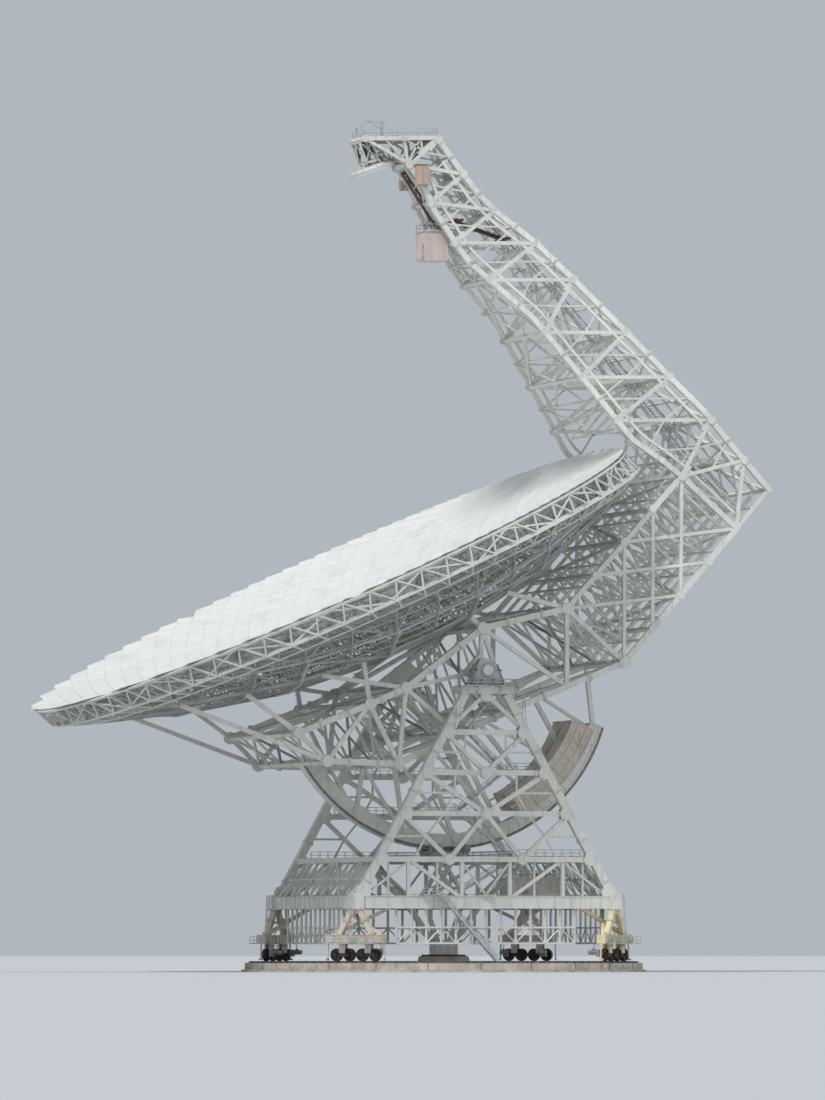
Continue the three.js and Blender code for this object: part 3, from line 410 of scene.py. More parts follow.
@dataclass(frozen=True)
class CoatedPanel(Finish):
    """Coil-coated sandwich panel of a machine room, ribbed by rolling.

    The eye gets a warm satin sheet with a rib every 34 mm, and dust washed down it in
    streaks of 70 by 350 mm.
    """

    dust: str = "a79c90"
    washed: Patches = Patches(70, 0.48, 0.72, 0.55, (1, 1, 0.2))
    rib_mm: float = 34.0

    def pattern(self, surface: Surface) -> None:
        """Lays the dust and raises the ribs.

        Args:
            surface: The material's nodes.
        """
        surface.stain(self.washed, self.dust)
        ribs = add(surface.tree, "ShaderNodeTexWave", {
            "Vector": surface.place, "Scale": per_metre(self.rib_mm) / (2 * math.pi) * 2,
            "Distortion": 0.0}, bands_direction="DIAGONAL")
        surface.relief(ribs.outputs["Fac"], depth_mm=1.5)


@dataclass(frozen=True)
class OiledSteel(Finish):
    """Turned and painted machine steel, dark with grease and brake dust.

    The eye gets a dark metal with a soft sheen, duller where grease holds dirt in patches
    of 80 mm, and turning marks of 5 mm.
    """

    grease: str = "2e2a26"
    smears: Patches = Patches(80, 0.42, 0.66, 0.8)
    marks: Patches = Patches(5, 0.3, 0.7)

    def pattern(self, surface: Surface) -> None:
        """Lays the grease, dull where it is, and the turning marks.

        Args:
            surface: The material's nodes.
        """
        smears = surface.stain(self.smears, self.grease)
        surface.dull(smears, self.roughness, self.roughness + 0.3)
        surface.relief(surface.mask(self.marks), depth_mm=0.3)


WHITE_PAINT = WeatheredPaint("weathered_white_epoxy_paint", "white_paint", "dedfd6", 0.5)
WEB_PAINT = WeatheredPaint("weathered_white_bracing_paint", "web_paint", "d6d8cf", 0.55,
                           cloud="bdbfbb", streak="9c9c95")
GREY_PAINT = WeatheredPaint("weathered_grey_primer_paint", "grey_paint", "bcbfc0", 0.6,
                            cloud="a0a4a5", streak="85837c", rust="7d6350")
# The back frame's white paint darkened as painted shade for the shadow under the dish; its clouds and
# streaks are darkened the same way
SHADE_PAINT = WeatheredPaint("white_back_frame_paint_with_painted_shade", "grey_paint", "abaea6", 0.6,
                             cloud="8a8d89", streak="74716a", rust="7d6350")
DISH_PAINT = DiffusingPaint("matt_white_diffusing_paint", "dish_skin", "e0e1dd", 0.62)
CONCRETE = CastConcrete("board_cast_concrete", "concrete", "aaa397", 0.9)
RAIL_STEEL = RolledSteel("rolled_rail_steel", "rail_steel", "8c8883", 0.32, 1.0)
CABIN_PANEL = CoatedPanel("ribbed_coated_steel_panel", "cabin_panel", "d2c1bb", 0.55)
PALE_PANEL = CoatedPanel("ribbed_pale_steel_panel", "cabin_panel", "dedad2", 0.55)
DARK_STEEL = OiledSteel("greased_machine_steel", "dark_steel", "5d5750", 0.42, 0.8)
# Zinc dipped on walkways and rails: a pale grey with a soft metal sheen and duller blotches
GALVANISED = RolledSteel("hot_dip_galvanised_steel", "grey_paint", "c6cacb", 0.5, 0.4,
                         rust="9d9d99")
TRUCK_PAINT = WeatheredPaint("weathered_cream_machine_paint", "cabin_panel", "dccfc0", 0.5,
                             cloud="bfb09f", streak="93877a", rust="8a5c40")
TRUCK_PRIMER = WeatheredPaint("weathered_pink_primer_paint", "cabin_panel", "ecdbd4", 0.55,
                              cloud="dbc6be", streak="b39c94", rust="b48c7a")
TRUCK_YELLOW = WeatheredPaint("weathered_yellow_machine_paint", "cabin_panel", "e6dab6", 0.5,
                              cloud="cfc093", streak="9d8e6d", rust="8a5c40")
MACHINE_PAINT = WeatheredPaint("enamelled_grey_machine_paint", "grey_paint", "92999b", 0.38,
                               cloud="7c8486", streak="5e605c", rust="6f5847")
BOOM_PAINT = WeatheredPaint("weathered_red_oxide_paint", "dark_steel", "6d4c42", 0.6,
                            cloud="563d36", streak="453630", rust="8a5136")
CABINET_PAINT = WeatheredPaint("weathered_red_brown_cabinet_paint", "cabin_panel", "c4ab9d", 0.5,
                               cloud="ad9688", streak="857266", rust="7c4936")
WEIGHT_PAINT = WeatheredPaint("weathered_beige_weight_paint", "white_paint", "d3c8bb", 0.55,
                              cloud="b9aea1", streak="8f8579")
# Bitumen poured in the joints: nearly black and dull, with the grain of the concrete beside it
SEALANT = CastConcrete("bitumen_joint_sealant", "concrete", "4b4844", 0.85, stain="35322f",
                       light="5b5751")

NODE_FINISH: dict[str, Finish] = {
    "white_paint": WHITE_PAINT, "web_paint": WEB_PAINT, "grey_paint": GREY_PAINT,
    "dish_skin": DISH_PAINT, "concrete": CONCRETE, "rail_steel": RAIL_STEEL,
    "cabin_panel": CABIN_PANEL, "dark_steel": DARK_STEEL,
}


def truck_finish(name: str) -> Finish:
    """Gives the paint of a corner truck, which was renewed at some corners only.

    Args:
        name: The name of the truck's corner or node.

    Returns:
        The paint.
    """
    if name.endswith("rear_right"):
        return TRUCK_PRIMER
    return TRUCK_YELLOW if name.endswith("rear_left") else TRUCK_PAINT


def node_finish(node: str, slot: str) -> Finish:
    """Gives the finish of a node of the frame.

    Args:
        node: The node's name.
        slot: Its material slot in the record.

    Returns:
        The finish of its slot, or its own.
    """
    if node.startswith("corner_truck"):
        return truck_finish(node)
    if node.startswith("counterweight"):
        return WEIGHT_PAINT
    return PALE_PANEL if node == "equipment_room" else NODE_FINISH[slot]


def dress_nodes() -> None:
    """Gives every node of the frame its finish."""
    for row in frame["record"]["subparts"]:
        finish = node_finish(row["node"], row["material_slot"])
        piece = frame["nodes"][row["node"]]
        piece.data.materials.clear()
        piece.data.materials.append(finish.material())


# Metalwork

PLATE = 0.014
THIN_PLATE = 0.012
HANDRAIL = 0.0045
RUNG_PITCH = 0.03
TREAD_PITCH = 0.04
TREAD_DEEP = 0.028


@dataclass
class Metalwork:
    """Bars, rods, plates and drums of one body, drawn in its frame and gathered into one mesh."""

    body: Body
    points: list[Vector] = field(default_factory=list)
    faces: list[tuple[int, ...]] = field(default_factory=list)

    def skin(self, rings: Sequence[Sequence[Vector]]) -> None:
        """Adds a closed solid through a row of rings, with a cap on its first and last one.

        Args:
            rings: Rings of as many points each, counter-clockwise about the way to the last.
        """
        base, count = len(self.points), len(rings[0])
        for ring in rings:
            self.points += map(PLACES[self.body], ring)
        last = base + (len(rings) - 1) * count
        self.faces.append(tuple(base + i for i in reversed(range(count))))
        self.faces.append(tuple(last + i for i in range(count)))
        for k in range(len(rings) - 1):
            near, far = base + k * count, base + (k + 1) * count
            for i in range(count):
                j = (i + 1) % count
                self.faces.append((near + i, near + j, far + j, far + i))

    def axes(self, start: Point, end: Point, side: Point) -> tuple[Vector, Vector, Vector]:
        """Gives the directions of a bar.

        Args:
            start: Its first end.
            end: Its other end.
            side: The direction of its width.

        Returns:
            The directions along it, of its width and of its depth.
        """
        along = (Vector(end) - Vector(start)).normalized()
        wide = Vector(side) - along * along.dot(Vector(side))
        if wide.length < 1e-4:
            wide = along.orthogonal()
        wide.normalize()
        return along, wide, along.cross(wide)

    def bar(self, start: Point, end: Point, wide: float, deep: float | None = None,
            side: Point = UP) -> None:
        """Adds a bar of rectangular section.

        Args:
            start: Its first end.
            end: Its other end.
            wide: Its width.
            deep: Its depth, or None for a square bar.
            side: The direction of its width.
        """
        _, w, h = self.axes(start, end, side)
        w *= wide / 2
        h *= (wide if deep is None else deep) / 2
        around = (w + h, h - w, -w - h, w - h)
        self.skin([[Vector(middle) + shift for shift in around] for middle in (start, end)])

    def block(self, middle: Point, way: Point, reach: float, wide: float, deep: float | None = None,
              side: Point = UP) -> None:
        """Adds a bar by its middle, from which it reaches as far back as it does along way."""
        ends = [[m + sign * w * reach for m, w in zip(middle, way)] for sign in (-1, 1)]
        self.bar(*ends, wide, deep, side)

    def rod(self, start: Point, end: Point, radius: float, sides: int = 6) -> None:
        """Adds a round bar."""
        reach = Vector(end) - Vector(start)
        self.turned(start, reach, ((0, radius), (reach.length, radius)), sides)

    def turned(self, start: Point, axis: Point, profile: Sequence[Point], sides: int) -> None:
        """Adds a shape turned on a lathe.

        Args:
            start: Where the lathe's axis starts.
            axis: Its direction.
            profile: The distance and radius of each ring. Where distances run back, the
                shape is hollow.
            sides: The points in each ring.
        """
        along, w, h = self.axes((0, 0, 0), axis, (0.31, 0.57, 0.76))
        ring = [w * math.cos(t) + h * math.sin(t) for t in circle(sides)]
        self.skin([[Vector(start) + along * x + r * radius for r in ring] for x, radius in profile])

    def path(self, points: Sequence[Point], wide: float, deep: float | None = None,
             side: Point = UP, closed: bool = False) -> None:
        """Adds a bar between each point and the next one.

        Args:
            points: The points in order.
            wide: Their width.
            deep: Their depth, or None for square bars.
            side: The direction of its width.
            closed: Whether it ends at its first point.
        """
        ends = list(points[1:]) + ([points[0]] if closed else [])
        for start, end in zip(points, ends):
            self.bar(start, end, wide, deep, side)

    def flanges(self, start: Point, end: Point, deep: float, wide: float, pitch: float = 0.26) -> None:
        """Adds upper and lower flange plates and upright stiffeners to a box girder.

        Args:
            start: Its first end.
            end: Its other end.
            deep: Its height.
            wide: Its width.
            pitch: The stiffeners' distance.
        """
        along, up, across = self.axes(start, end, UP)
        a, b = Vector(start), Vector(end)
        overhang, stiffener = 0.014, (0.01, 0.018)
        for sign in SIGNS:
            lift = up * (sign * deep / 2)
            self.bar(a + lift, b + lift, THIN_PLATE, wide + 2 * overhang)
        for share in spread(0, 1, round((b - a).length / pitch))[1:-1]:
            for sign in SIGNS:
                self.block(a.lerp(b, share) + across * (sign * wide / 2), up, deep / 2, *stiffener, along)

    def collar(self, start: Point, end: Point, share: float, size: float, side: Point = ACROSS) -> None:
        """Adds a bolted flange splice round a bar.

        Args:
            start: Its first end.
            end: Its other end.
            share: The splice's place, from 0 to 1.
            size: The flanges' width.
            side: The direction of its width.
        """
        along, w, h = self.axes(start, end, side)
        spot = Vector(start).lerp(Vector(end), share)
        half_bolt = along * 0.024
        for shift in (-0.01, 0.01):
            self.block(spot + along * shift, along, THIN_PLATE / 2, size, size, side)
        for x, y in product((-1, 0, 1), repeat=2):
            if x or y:
                bolt = spot + (w * x + h * y) * (size * 0.43)
                self.rod(bolt - half_bolt, bolt + half_bolt, 0.006)

    def lattice(self, start: Point, end: Point, wide: float, deep: float, bays: int, chord: float,
                web: float, side: Point) -> None:
        """Adds four chords laced on four faces.

        Args:
            start: Its first end.
            end: Its other end.
            wide: The chords' distance along side.
            deep: Their distance across it.
            bays: Their number.
            chord: The chords' thickness.
            web: The lacing's thickness.
            side: The direction of its width.
        """
        _, w, h = self.axes(start, end, side)
        a, b = Vector(start), Vector(end)
        signs = ((1, 1), (-1, 1), (-1, -1), (1, -1))
        corners = [w * (x * wide / 2) + h * (y * deep / 2) for x, y in signs]
        for k, corner in enumerate(corners):
            beside = corners[(k + 1) % 4]
            self.bar(a + corner, b + corner, chord, side=side)
            for i in range(bays):
                near, far = a.lerp(b, i / bays), a.lerp(b, (i + 1) / bays)
                ends = (corner, beside) if i % 2 else (beside, corner)
                self.bar(near + ends[0], far + ends[1], web)
                self.bar(near + corner, near + beside, web)

    def gusset(self, middle: Point, size: float, thick: float, normal: Point = ACROSS,
               bolts: int = 0) -> None:
        """Adds an eight-sided plate on a joint, with a ring of bolt heads.

        Args:
            middle: The plate's middle.
            size: Its width.
            thick: Its thickness.
            normal: The direction that it faces.
            bolts: The number of bolts through it.
        """
        _, w, h = self.axes((0, 0, 0), normal, (0.3, 0.2, 0.9))
        ring = [Vector(middle) + (w * math.cos(t) + h * math.sin(t)) * size / 2 for t in circle(8, 0.5)]
        out = Vector(normal).normalized() * (thick / 2)
        self.skin([[p - out for p in ring], [p + out for p in ring]])
        for t in circle(bolts):
            spot = Vector(middle) + (w * math.cos(t) + h * math.sin(t)) * size * 0.38
            self.rod(spot - out * 1.6, spot + out * 1.6, size * 0.05)

    def gussets(self, middle: Point, apart: float, size: float, thick: float = PLATE, bolts: int = 8,
                normal: Point = ACROSS) -> None:
        """Adds the same gusset on both faces of a member.

        Args:
            middle: The joint's middle.
            apart: How far each plate is from it.
            size: The plates' width.
            thick: Their thickness.
            bolts: The number of bolts through each.
            normal: The direction that the faces look.
        """
        for face in SIGNS:
            spot = [m + face * apart * n for m, n in zip(middle, normal)]
            self.gusset(spot, size, thick, normal, bolts)

    def edges(self, start: Point, end: Point, wide: float, side: Point) -> list[tuple[Vector, Vector]]:
        """Gives the two long edges of a strip, each by its ends.

        Args:
            start: Its first end.
            end: Its other end.
            wide: Its width.
            side: The direction across it.

        Returns:
            The edge toward side, and the other one.
        """
        _, w, _ = self.axes(start, end, side)
        shifts = [w * (sign * wide / 2) for sign in SIGNS]
        return [(Vector(start) + shift, Vector(end) + shift) for shift in shifts]

    def railing(self, points: Sequence[Point], height: float = 0.11, step: float = 0.15,
                up: Point = UP) -> None:
        """Adds two handrails on posts.

        Args:
            points: The line that the posts stand on.
            height: Their height.
            step: Their distance.
            up: Their direction.
        """
        lift = Vector(up)
        for start, end in pairwise(points):
            a, b = Vector(start), Vector(end)
            for level in (height, height * 0.5):
                self.rod(a + lift * level, b + lift * level, HANDRAIL, 5)
            for share in spread(0, 1, max(1, round((b - a).length / step))):
                foot = a.lerp(b, share)
                self.rod(foot, foot + lift * height, HANDRAIL, 5)

    def walk(self, start: Point, end: Point, wide: float, side: Point) -> None:
        """Adds a grating deck with a railing on both sides.

        Args:
            start: Its first end.
            end: Its other end.
            wide: Its width.
            side: The direction across it.
        """
        self.bar(start, end, wide, THIN_PLATE, side)
        for edge in self.edges(start, end, wide, side):
            self.railing(edge)

    def ladder(self, foot: Point, top: Point, wide: float, side: Point) -> None:
        """Adds two stiles with rungs between them.

        Args:
            foot: Its lower end.
            top: Its upper end.
            wide: Its width.
            side: The direction of the rungs.
        """
        left, right = self.edges(foot, top, wide, side)
        for edge in (left, right):
            self.rod(*edge, 0.006, 5)
        count = round((left[1] - left[0]).length / RUNG_PITCH)
        for share in spread(0, 1, count)[1:-1]:
            self.rod(right[0].lerp(right[1], share), left[0].lerp(left[1], share), 0.004, 4)

    def stair(self, foot: Point, top: Point, wide: float, side: Point) -> None:
        """Adds one flight: two stringers, treads and a handrail on both sides.

        Args:
            foot: Its lower end.
            top: Its upper end.
            wide: Its width.
            side: The direction of the treads.
        """
        left, right = self.edges(foot, top, wide, side)
        for edge in (left, right):
            self.bar(*edge, 0.01, TREAD_DEEP, side)
            self.railing(edge, 0.1, 0.2)
        count = round(abs(top[2] - foot[2]) / TREAD_PITCH)
        for share in spread(0, 1, count)[1:-1]:
            self.bar(right[0].lerp(right[1], share), left[0].lerp(left[1], share), 0.005, TREAD_DEEP)

    def piece(self, name: str, finish: Finish, smooth: float = 0.0) -> bpy.types.Object:
        """Makes the mesh object, gives it its finish and hangs it on its body.

        Args:
            name: The piece's name.
            finish: What it is made of.
            smooth: The largest angle in degrees that is shaded round.

        Returns:
            The new object.
        """
        mesh = bpy.data.meshes.new(name)
        mesh.from_pydata([tuple(p) for p in self.points], [], self.faces)
        if smooth:
            mesh.polygons.foreach_set("use_smooth", [True] * len(mesh.polygons))
            mesh.set_sharp_from_angle(angle=math.radians(smooth))
        mesh.materials.append(finish.material())
        made = bpy.data.objects.new(name, mesh)
        bpy.context.scene.collection.objects.link(made)
        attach(made, self.body.value)
        log.info("%s: %d faces", name, len(self.faces))
        return made


@dataclass(frozen=True)
class Motor:
    """An electric motor seen from its flange: a body with two cooling bands, and a fan cowl."""

    flange: float
    body: float
    band: float
    ends: Numbers
    cowl: Points
    shoulder: float = 0.002

    def profile(self) -> list[Point]:
        """Works out the motor's outline.

        Returns:
            The distance from the flange and the radius of each ring, for a lathe.
        """
        rings: list[Point] = []
        start = 0.0
        radii = (self.flange, self.body, self.band, self.body, self.band, self.body)
        for radius, end in zip(radii, self.ends):
            rings += [(start, radius), (end, radius)]
            start = end + self.shoulder
        return [*rings, (start, self.band), *self.cowl]


# The foundation


@dataclass
class Foundation:
    """What is fixed to the ring wall and to the central block: rail fixings, footings, pintle ring."""

    wall_half: float = 0.15
    wall_top: float = 0.15
    plates: int = 120
    splices: int = 20
    footing_sides: int = 96
    casts: int = 24
    block_top: float = 0.26
    block_foot: float = 0.48
    pintle_sides: int = 36
    anchors: int = 24

    def around(self, share: float, radius: float, z: float) -> Point:
        """Gives a point at a share of a full turn round the azimuth axis."""
        turn = 2 * math.pi * share
        return radius * math.cos(turn), radius * math.sin(turn), z

    def ring(self, sides: int, radius: float, z: float) -> list[Point]:
        """Gives the corners of a level ring round the azimuth axis."""
        return [self.around(i / sides, radius, z) for i in range(sides)]

    def build(self) -> None:
        """Makes the rail fixings, the footings with their cast joints, and the pintle ring."""
        self.fixings()
        self.footings()
        self.pintle()

    def fixings(self) -> None:
        """Makes the sole plates, clips and bolts along the rail, and its splice bars."""
        work = Metalwork(Body.FOUNDATION)
        top = self.wall_top
        for i in range(self.plates):
            share = i / self.plates
            work.bar(self.around(share, TRACK - 0.09, top + 0.005),
                     self.around(share, TRACK + 0.09, top + 0.005), 0.01, 0.075)
            for spot, sign in product((share - 0.001, share + 0.001), SIGNS):
                work.bar(self.around(spot, TRACK + sign * 0.05, top + 0.02),
                         self.around(spot, TRACK + sign * 0.076, top + 0.013), 0.01, 0.02)
                bolt = self.around(spot, TRACK + sign * 0.068, top)
                work.rod(bolt, (*bolt[:2], top + 0.03), 0.007)
        for i in range(self.splices):
            share = (i + 0.37) / self.splices
            for radius in (TRACK + 0.057, TRACK - 0.057):
                ends = [self.around(share + shift, radius, top + 0.016) for shift in (-0.003, 0.003)]
                work.bar(*ends, 0.018, 0.012)
        work.piece("rail_fixings", RAIL_STEEL)

    def footings(self) -> None:
        """Makes the step at the foot of the wall and the sealed joints between two casts."""
        work = Metalwork(Body.FOUNDATION)
        for radius in (TRACK - 0.18, TRACK + 0.18):
            work.path(self.ring(self.footing_sides, radius, 0.02), 0.04, 0.06, closed=True)
        work.piece("ring_footing", CONCRETE)
        seals = Metalwork(Body.FOUNDATION)
        for i in range(self.casts):
            share = (i + 0.5) / self.casts
            ends = [self.around(share, TRACK + sign * self.wall_half, self.wall_top) for sign in SIGNS]
            seals.bar(*ends, 0.003, 0.012)
            for x, y, z in ends:
                seals.bar((x, y, 0.04), (x, y, z), 0.012, 0.004, (-y, x, 0))
        seals.piece("cast_joint_seals", SEALANT)

    def pintle(self) -> None:
        """Makes the base flange, its anchor bolts, the bearing ring and the step irons."""
        work = Metalwork(Body.FOUNDATION)
        top = self.block_top
        work.path(self.ring(self.pintle_sides, 0.345, top + 0.005), 0.01, 0.09, closed=True)
        work.path(self.ring(self.pintle_sides, 0.3, top + 0.016), 0.03, 0.03, closed=True)
        for i in range(self.anchors):
            anchor = self.around((i + 0.5) / self.anchors, 0.36, top)
            work.rod(anchor, (*anchor[:2], top + 0.03), 0.009)
        for z in spread(0.05, 0.2, 3):
            face = self.block_foot - 0.06 * z / top
            corners = ((-0.01, -0.03), (0.03, -0.03), (0.03, 0.03), (-0.01, 0.03))
            work.path([(face + x, y, z) for x, y in corners], 0.008)
        work.piece("pintle_fittings", DARK_STEEL)


# The turning frame


@dataclass
class Truck:
    """A corner truck: round wheels, axle boxes, drives, stiffeners and a service deck.

    It is drawn in (t, r, u): along the track, outward from it, and up from the rail.
    """

    end: int
    side: int
    axle: float = 0.107
    wheels_at: Numbers = (-0.36, -0.12, 0.12, 0.36)
    wheel_inward: float = -0.01
    beam_half: float = 0.52
    beam_level: float = 0.37
    beam_deep: float = 0.13
    beam_wide: float = 0.15
    deck_level: float = 0.3
    tyre: Points = (
        (-0.038, 0.028), (-0.038, 0.04), (-0.016, 0.05), (-0.016, 0.082), (-0.032, 0.089), (-0.032, 0.103),
        (-0.029, 0.1065), (0.029, 0.1065), (0.032, 0.103), (0.032, 0.089), (0.016, 0.082), (0.016, 0.05),
        (0.038, 0.04), (0.038, 0.028))
    cap: Points = ((0, 0.026), (0.01, 0.026), (0.015, 0.018))
    motor: Motor = Motor(0.046, 0.036, 0.04, (0.01, 0.03, 0.05, 0.07, 0.09, 0.12),
                         ((0.15, 0.038), (0.156, 0.03)))

    @property
    def out(self) -> Vector:
        """Gives the direction outward from the azimuth axis."""
        return Vector((self.end / math.sqrt(2), self.side / math.sqrt(2), 0.0))

    @property
    def along(self) -> Vector:
        """Gives the direction along the track."""
        return Vector(UP).cross(self.out)

    @property
    def name(self) -> str:
        """Gives the words that the node names use for this corner."""
        return f"{'front' if self.end > 0 else 'rear'}_{'left' if self.side > 0 else 'right'}"

    def at(self, t: float, r: float, u: float) -> Point:
        """Gives a point of this truck in the turning frame."""
        x, y = self.end / math.sqrt(2), self.side / math.sqrt(2)
        return (TRACK + r) * x - t * y, (TRACK + r) * y + t * x, u

    def build(self) -> None:
        """Makes the pieces of the truck."""
        self.wheels()
        self.steelwork()
        self.drives()
        self.deck()

    def wheels(self) -> None:
        """Makes four dished wheels between two flanged beams, in place of the plain set."""
        work = Metalwork(Body.ALIDADE)
        for t in self.wheels_at:
            work.turned(self.at(t, self.wheel_inward, self.axle), self.out, self.tyre, 36)
        for sign in SIGNS:
            r = self.wheel_inward + sign * 0.043
            for lift, deep, wide in ((0, 0.06, 0.012), (0.027, 0.006, 0.024), (-0.027, 0.006, 0.024)):
                work.block(self.at(0, r, self.axle + lift), self.along, 0.43, deep, wide)
            for t in self.wheels_at:
                work.block(self.at(t, r + sign * 0.014, self.axle), self.along, 0.032, 0.066, 0.014)
                work.turned(self.at(t, r + sign * 0.02, self.axle), self.out * sign, self.cap, 16)
        made = work.piece(f"wheels_and_axle_boxes_{self.name}", DARK_STEEL, 35)
        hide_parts(f"wheel_set_{self.name}")

    def steelwork(self) -> None:
        """Makes flanges, stiffeners, end plates, equaliser pins and leg splices."""
        work = Metalwork(Body.ALIDADE)
        half, level, beyond = self.beam_half, self.beam_level, self.beam_half + 0.01
        work.flanges(self.at(-half, 0, level), self.at(half, 0, level), self.beam_deep, self.beam_wide, 0.13)
        for sign in SIGNS:
            work.block(self.at(sign * half, 0, level), self.out, 0.08, self.beam_wide, THIN_PLATE)
            work.rod(self.at(sign * 0.24, -0.1, 0.255), self.at(sign * 0.24, 0.08, 0.255), 0.024, 14)
            leg = (self.at(sign * 0.33, 0, 0.4), self.at(sign * 0.04, 0, 0.9))
            for share in (0.1, 0.55, 0.9):
                work.collar(*leg, share, 0.125, self.out)
            work.block(self.at(sign * beyond, 0, 0.03), self.out, 0.045, 0.03, 0.01)
            work.bar(self.at(sign * beyond, 0, 0.03), self.at(sign * half, 0, 0.31), 0.02)
        for t in (-0.12, 0.12):
            work.bar(self.at(t, 0, 0.305), self.at(t, 0, 0.29), 0.1)
        work.gussets(self.at(0, 0, 0.87), 0.05, 0.2, normal=self.out)
        work.piece(f"truck_plates_{self.name}", truck_finish(self.name))

    def drives(self) -> None:
        """Makes a gearbox and a motor at the two outer wheels, with their cable."""
        work = Metalwork(Body.ALIDADE)
        for t in (self.wheels_at[0], self.wheels_at[-1]):
            work.block(self.at(t, -0.12, 0.135), self.along, 0.045, 0.12, 0.07)
            work.turned(self.at(t, -0.155, 0.15), -self.out, self.motor.profile(), 18)
            work.block(self.at(t, -0.22, 0.197), self.along, 0.02, 0.024, 0.04)
            cable = ((t, -0.22, 0.2), (t, -0.2, 0.3), (t * 0.6, -0.09, 0.44), (0, -0.06, 0.62),
                     (0, -0.06, 0.86))
            work.path([self.at(*spot) for spot in cable], 0.01)
        work.piece(f"wheel_drives_{self.name}", MACHINE_PAINT, 35)

    def deck(self) -> None:
        """Makes the service deck outside the truck and the ladder up to the base frame."""
        work = Metalwork(Body.ALIDADE)
        level = self.deck_level
        work.walk(self.at(-0.5, 0.17, level), self.at(0.5, 0.17, level), 0.13, self.out)
        for t in (-0.4, 0, 0.4):
            work.bar(self.at(t, 0.07, level + 0.02), self.at(t, 0.23, level - 0.007), 0.016)
        work.ladder(self.at(0, 0.2, level), self.at(0, 0.155, 1.12), 0.06, self.along)
        work.piece(f"truck_deck_{self.name}", GALVANISED)


@dataclass
class BaseFrame:
    """The girders' flanges and gussets, the walkways round the base and the stair to the ground."""

    corner: float = TRACK / math.sqrt(2)
    hub: float = 0.5
    level: float = 0.98
    deck: float = 1.0
    gallery_level: float = 0.3
    gallery_high: float = 0.26
    gallery_reach: float = 1.56
    gallery_bays: int = 12
    frame_head: float = 1.872
    frame_levels: tuple[float, float] = (1.08, 1.66)
    frame_half: float = 2.1
    frame_bays: int = 12

    def build(self) -> None:
        """Makes the plates, the posts and the access of the base frame."""
        self.plates()
        self.end_posts()
        self.hangers()
        self.access()

    def plates(self) -> None:
        """Makes flanges and stiffeners on each girder and bolted plates on each joint."""
        work = Metalwork(Body.ALIDADE)
        c, h, u = self.corner, self.hub, self.level
        for side in SIGNS:
            for reach, deep, wide in ((c, 0.2, 0.12), (h, 0.16, 0.1)):
                offset = side * reach
                work.flanges((-reach, offset, u), (reach, offset, u), deep, wide)
                work.flanges((offset, -reach, u), (offset, reach, u), deep, wide)
            for end in SIGNS:
                work.flanges((end * c, side * c, u), (end * h, side * h, u), 0.16, 0.1)
                work.gussets((end * h, side * h, u), 0.095, 0.3, bolts=10, normal=UP)
            for spot in ((0, side * c, u), (side * c, 0, u)):
                work.gussets(spot, 0.112, 0.28, THIN_PLATE, normal=UP)
            work.flanges((side * c, 0, u), (side * h, 0, u), 0.12, 0.07)
            work.flanges((0, side * c, u), (0, side * h, u), 0.12, 0.07)
        work.piece("base_frame_plates", WHITE_PAINT)

    def gallery_at(self, run: int, side: int, x: float, u: float) -> Point:
        """Gives a point of the gallery, a distance x along one of its runs: 0 lengthwise, 1 across."""
        return (side * self.corner, x, u) if run else (x, side * self.corner, u)

    def hangers(self) -> None:
        """Makes the gallery near the track, on posts that hang from the four outer girders."""
        work = Metalwork(Body.ALIDADE)
        low, high, reach = self.gallery_level, self.level - 0.1, self.gallery_reach
        rails = (low, low + self.gallery_high)
        places = spread(-reach, reach, self.gallery_bays)
        for side, run in product(SIGNS, (0, 1)):
            for i, x in enumerate(places):
                work.bar(self.gallery_at(run, side, x, low), self.gallery_at(run, side, x, high),
                         0.034, side=(1, 1, 0))
                if i:
                    work.bar(self.gallery_at(run, side, places[i - 1], rails[(i + 1) % 2]),
                             self.gallery_at(run, side, x, rails[i % 2]), 0.018, side=(1, 1, 0))
            for u in rails:
                work.bar(self.gallery_at(run, side, -reach, u), self.gallery_at(run, side, reach, u),
                         0.03, 0.05)
        work.piece("hanging_gallery", WHITE_PAINT)

    def end_posts(self) -> None:
        """Makes the fine posts and crossed rods of both sloping end frames."""
        work = Metalwork(Body.ALIDADE)
        foot, head, half = self.corner, self.frame_head, self.frame_half
        low, high = self.frame_levels
        places = spread(-half, half, self.frame_bays)
        for end in SIGNS:
            for i, s in enumerate(places):
                work.bar((end * foot, s, low), (end * head, s, high), 0.034)
                if i:
                    work.bar((end * foot, places[i - 1], low), (end * head, s, high), 0.02)
                    work.bar((end * foot, s, low), (end * head, places[i - 1], high), 0.02)
            work.block((end * (foot + head) / 2, 0, (low + high) / 2), ACROSS, half, 0.034)
        work.piece("end_frame_posts", WEB_PAINT)

    def access(self) -> None:
        """Makes four walkways inside the girders, a stair to the ground and cable trays."""
        work = Metalwork(Body.ALIDADE)
        c = self.corner - 0.17
        for side in SIGNS:
            work.walk((-c, side * c, self.deck), (c, side * c, self.deck), 0.13, ACROSS)
            work.walk((side * c, -c, self.deck), (side * c, c, self.deck), 0.13, FORWARD)
        out, landing = self.corner + 0.16, self.deck + 0.1
        work.stair((-0.25, out, -0.13), (0.85, out, landing), 0.11, ACROSS)
        work.walk((0.85, out, landing), (1.15, out, landing), 0.11, ACROSS)
        for f in (0.88, 1.12):
            work.bar((f, self.corner, landing - 0.015), (f, out + 0.05, landing - 0.015), 0.02)
        for side in SIGNS:
            work.bar((side * 0.56, side * 0.56, 1.075), (side * 2.1, side * 2.1, 1.075), 0.012, 0.06)
        work.piece("base_frame_access", GALVANISED)


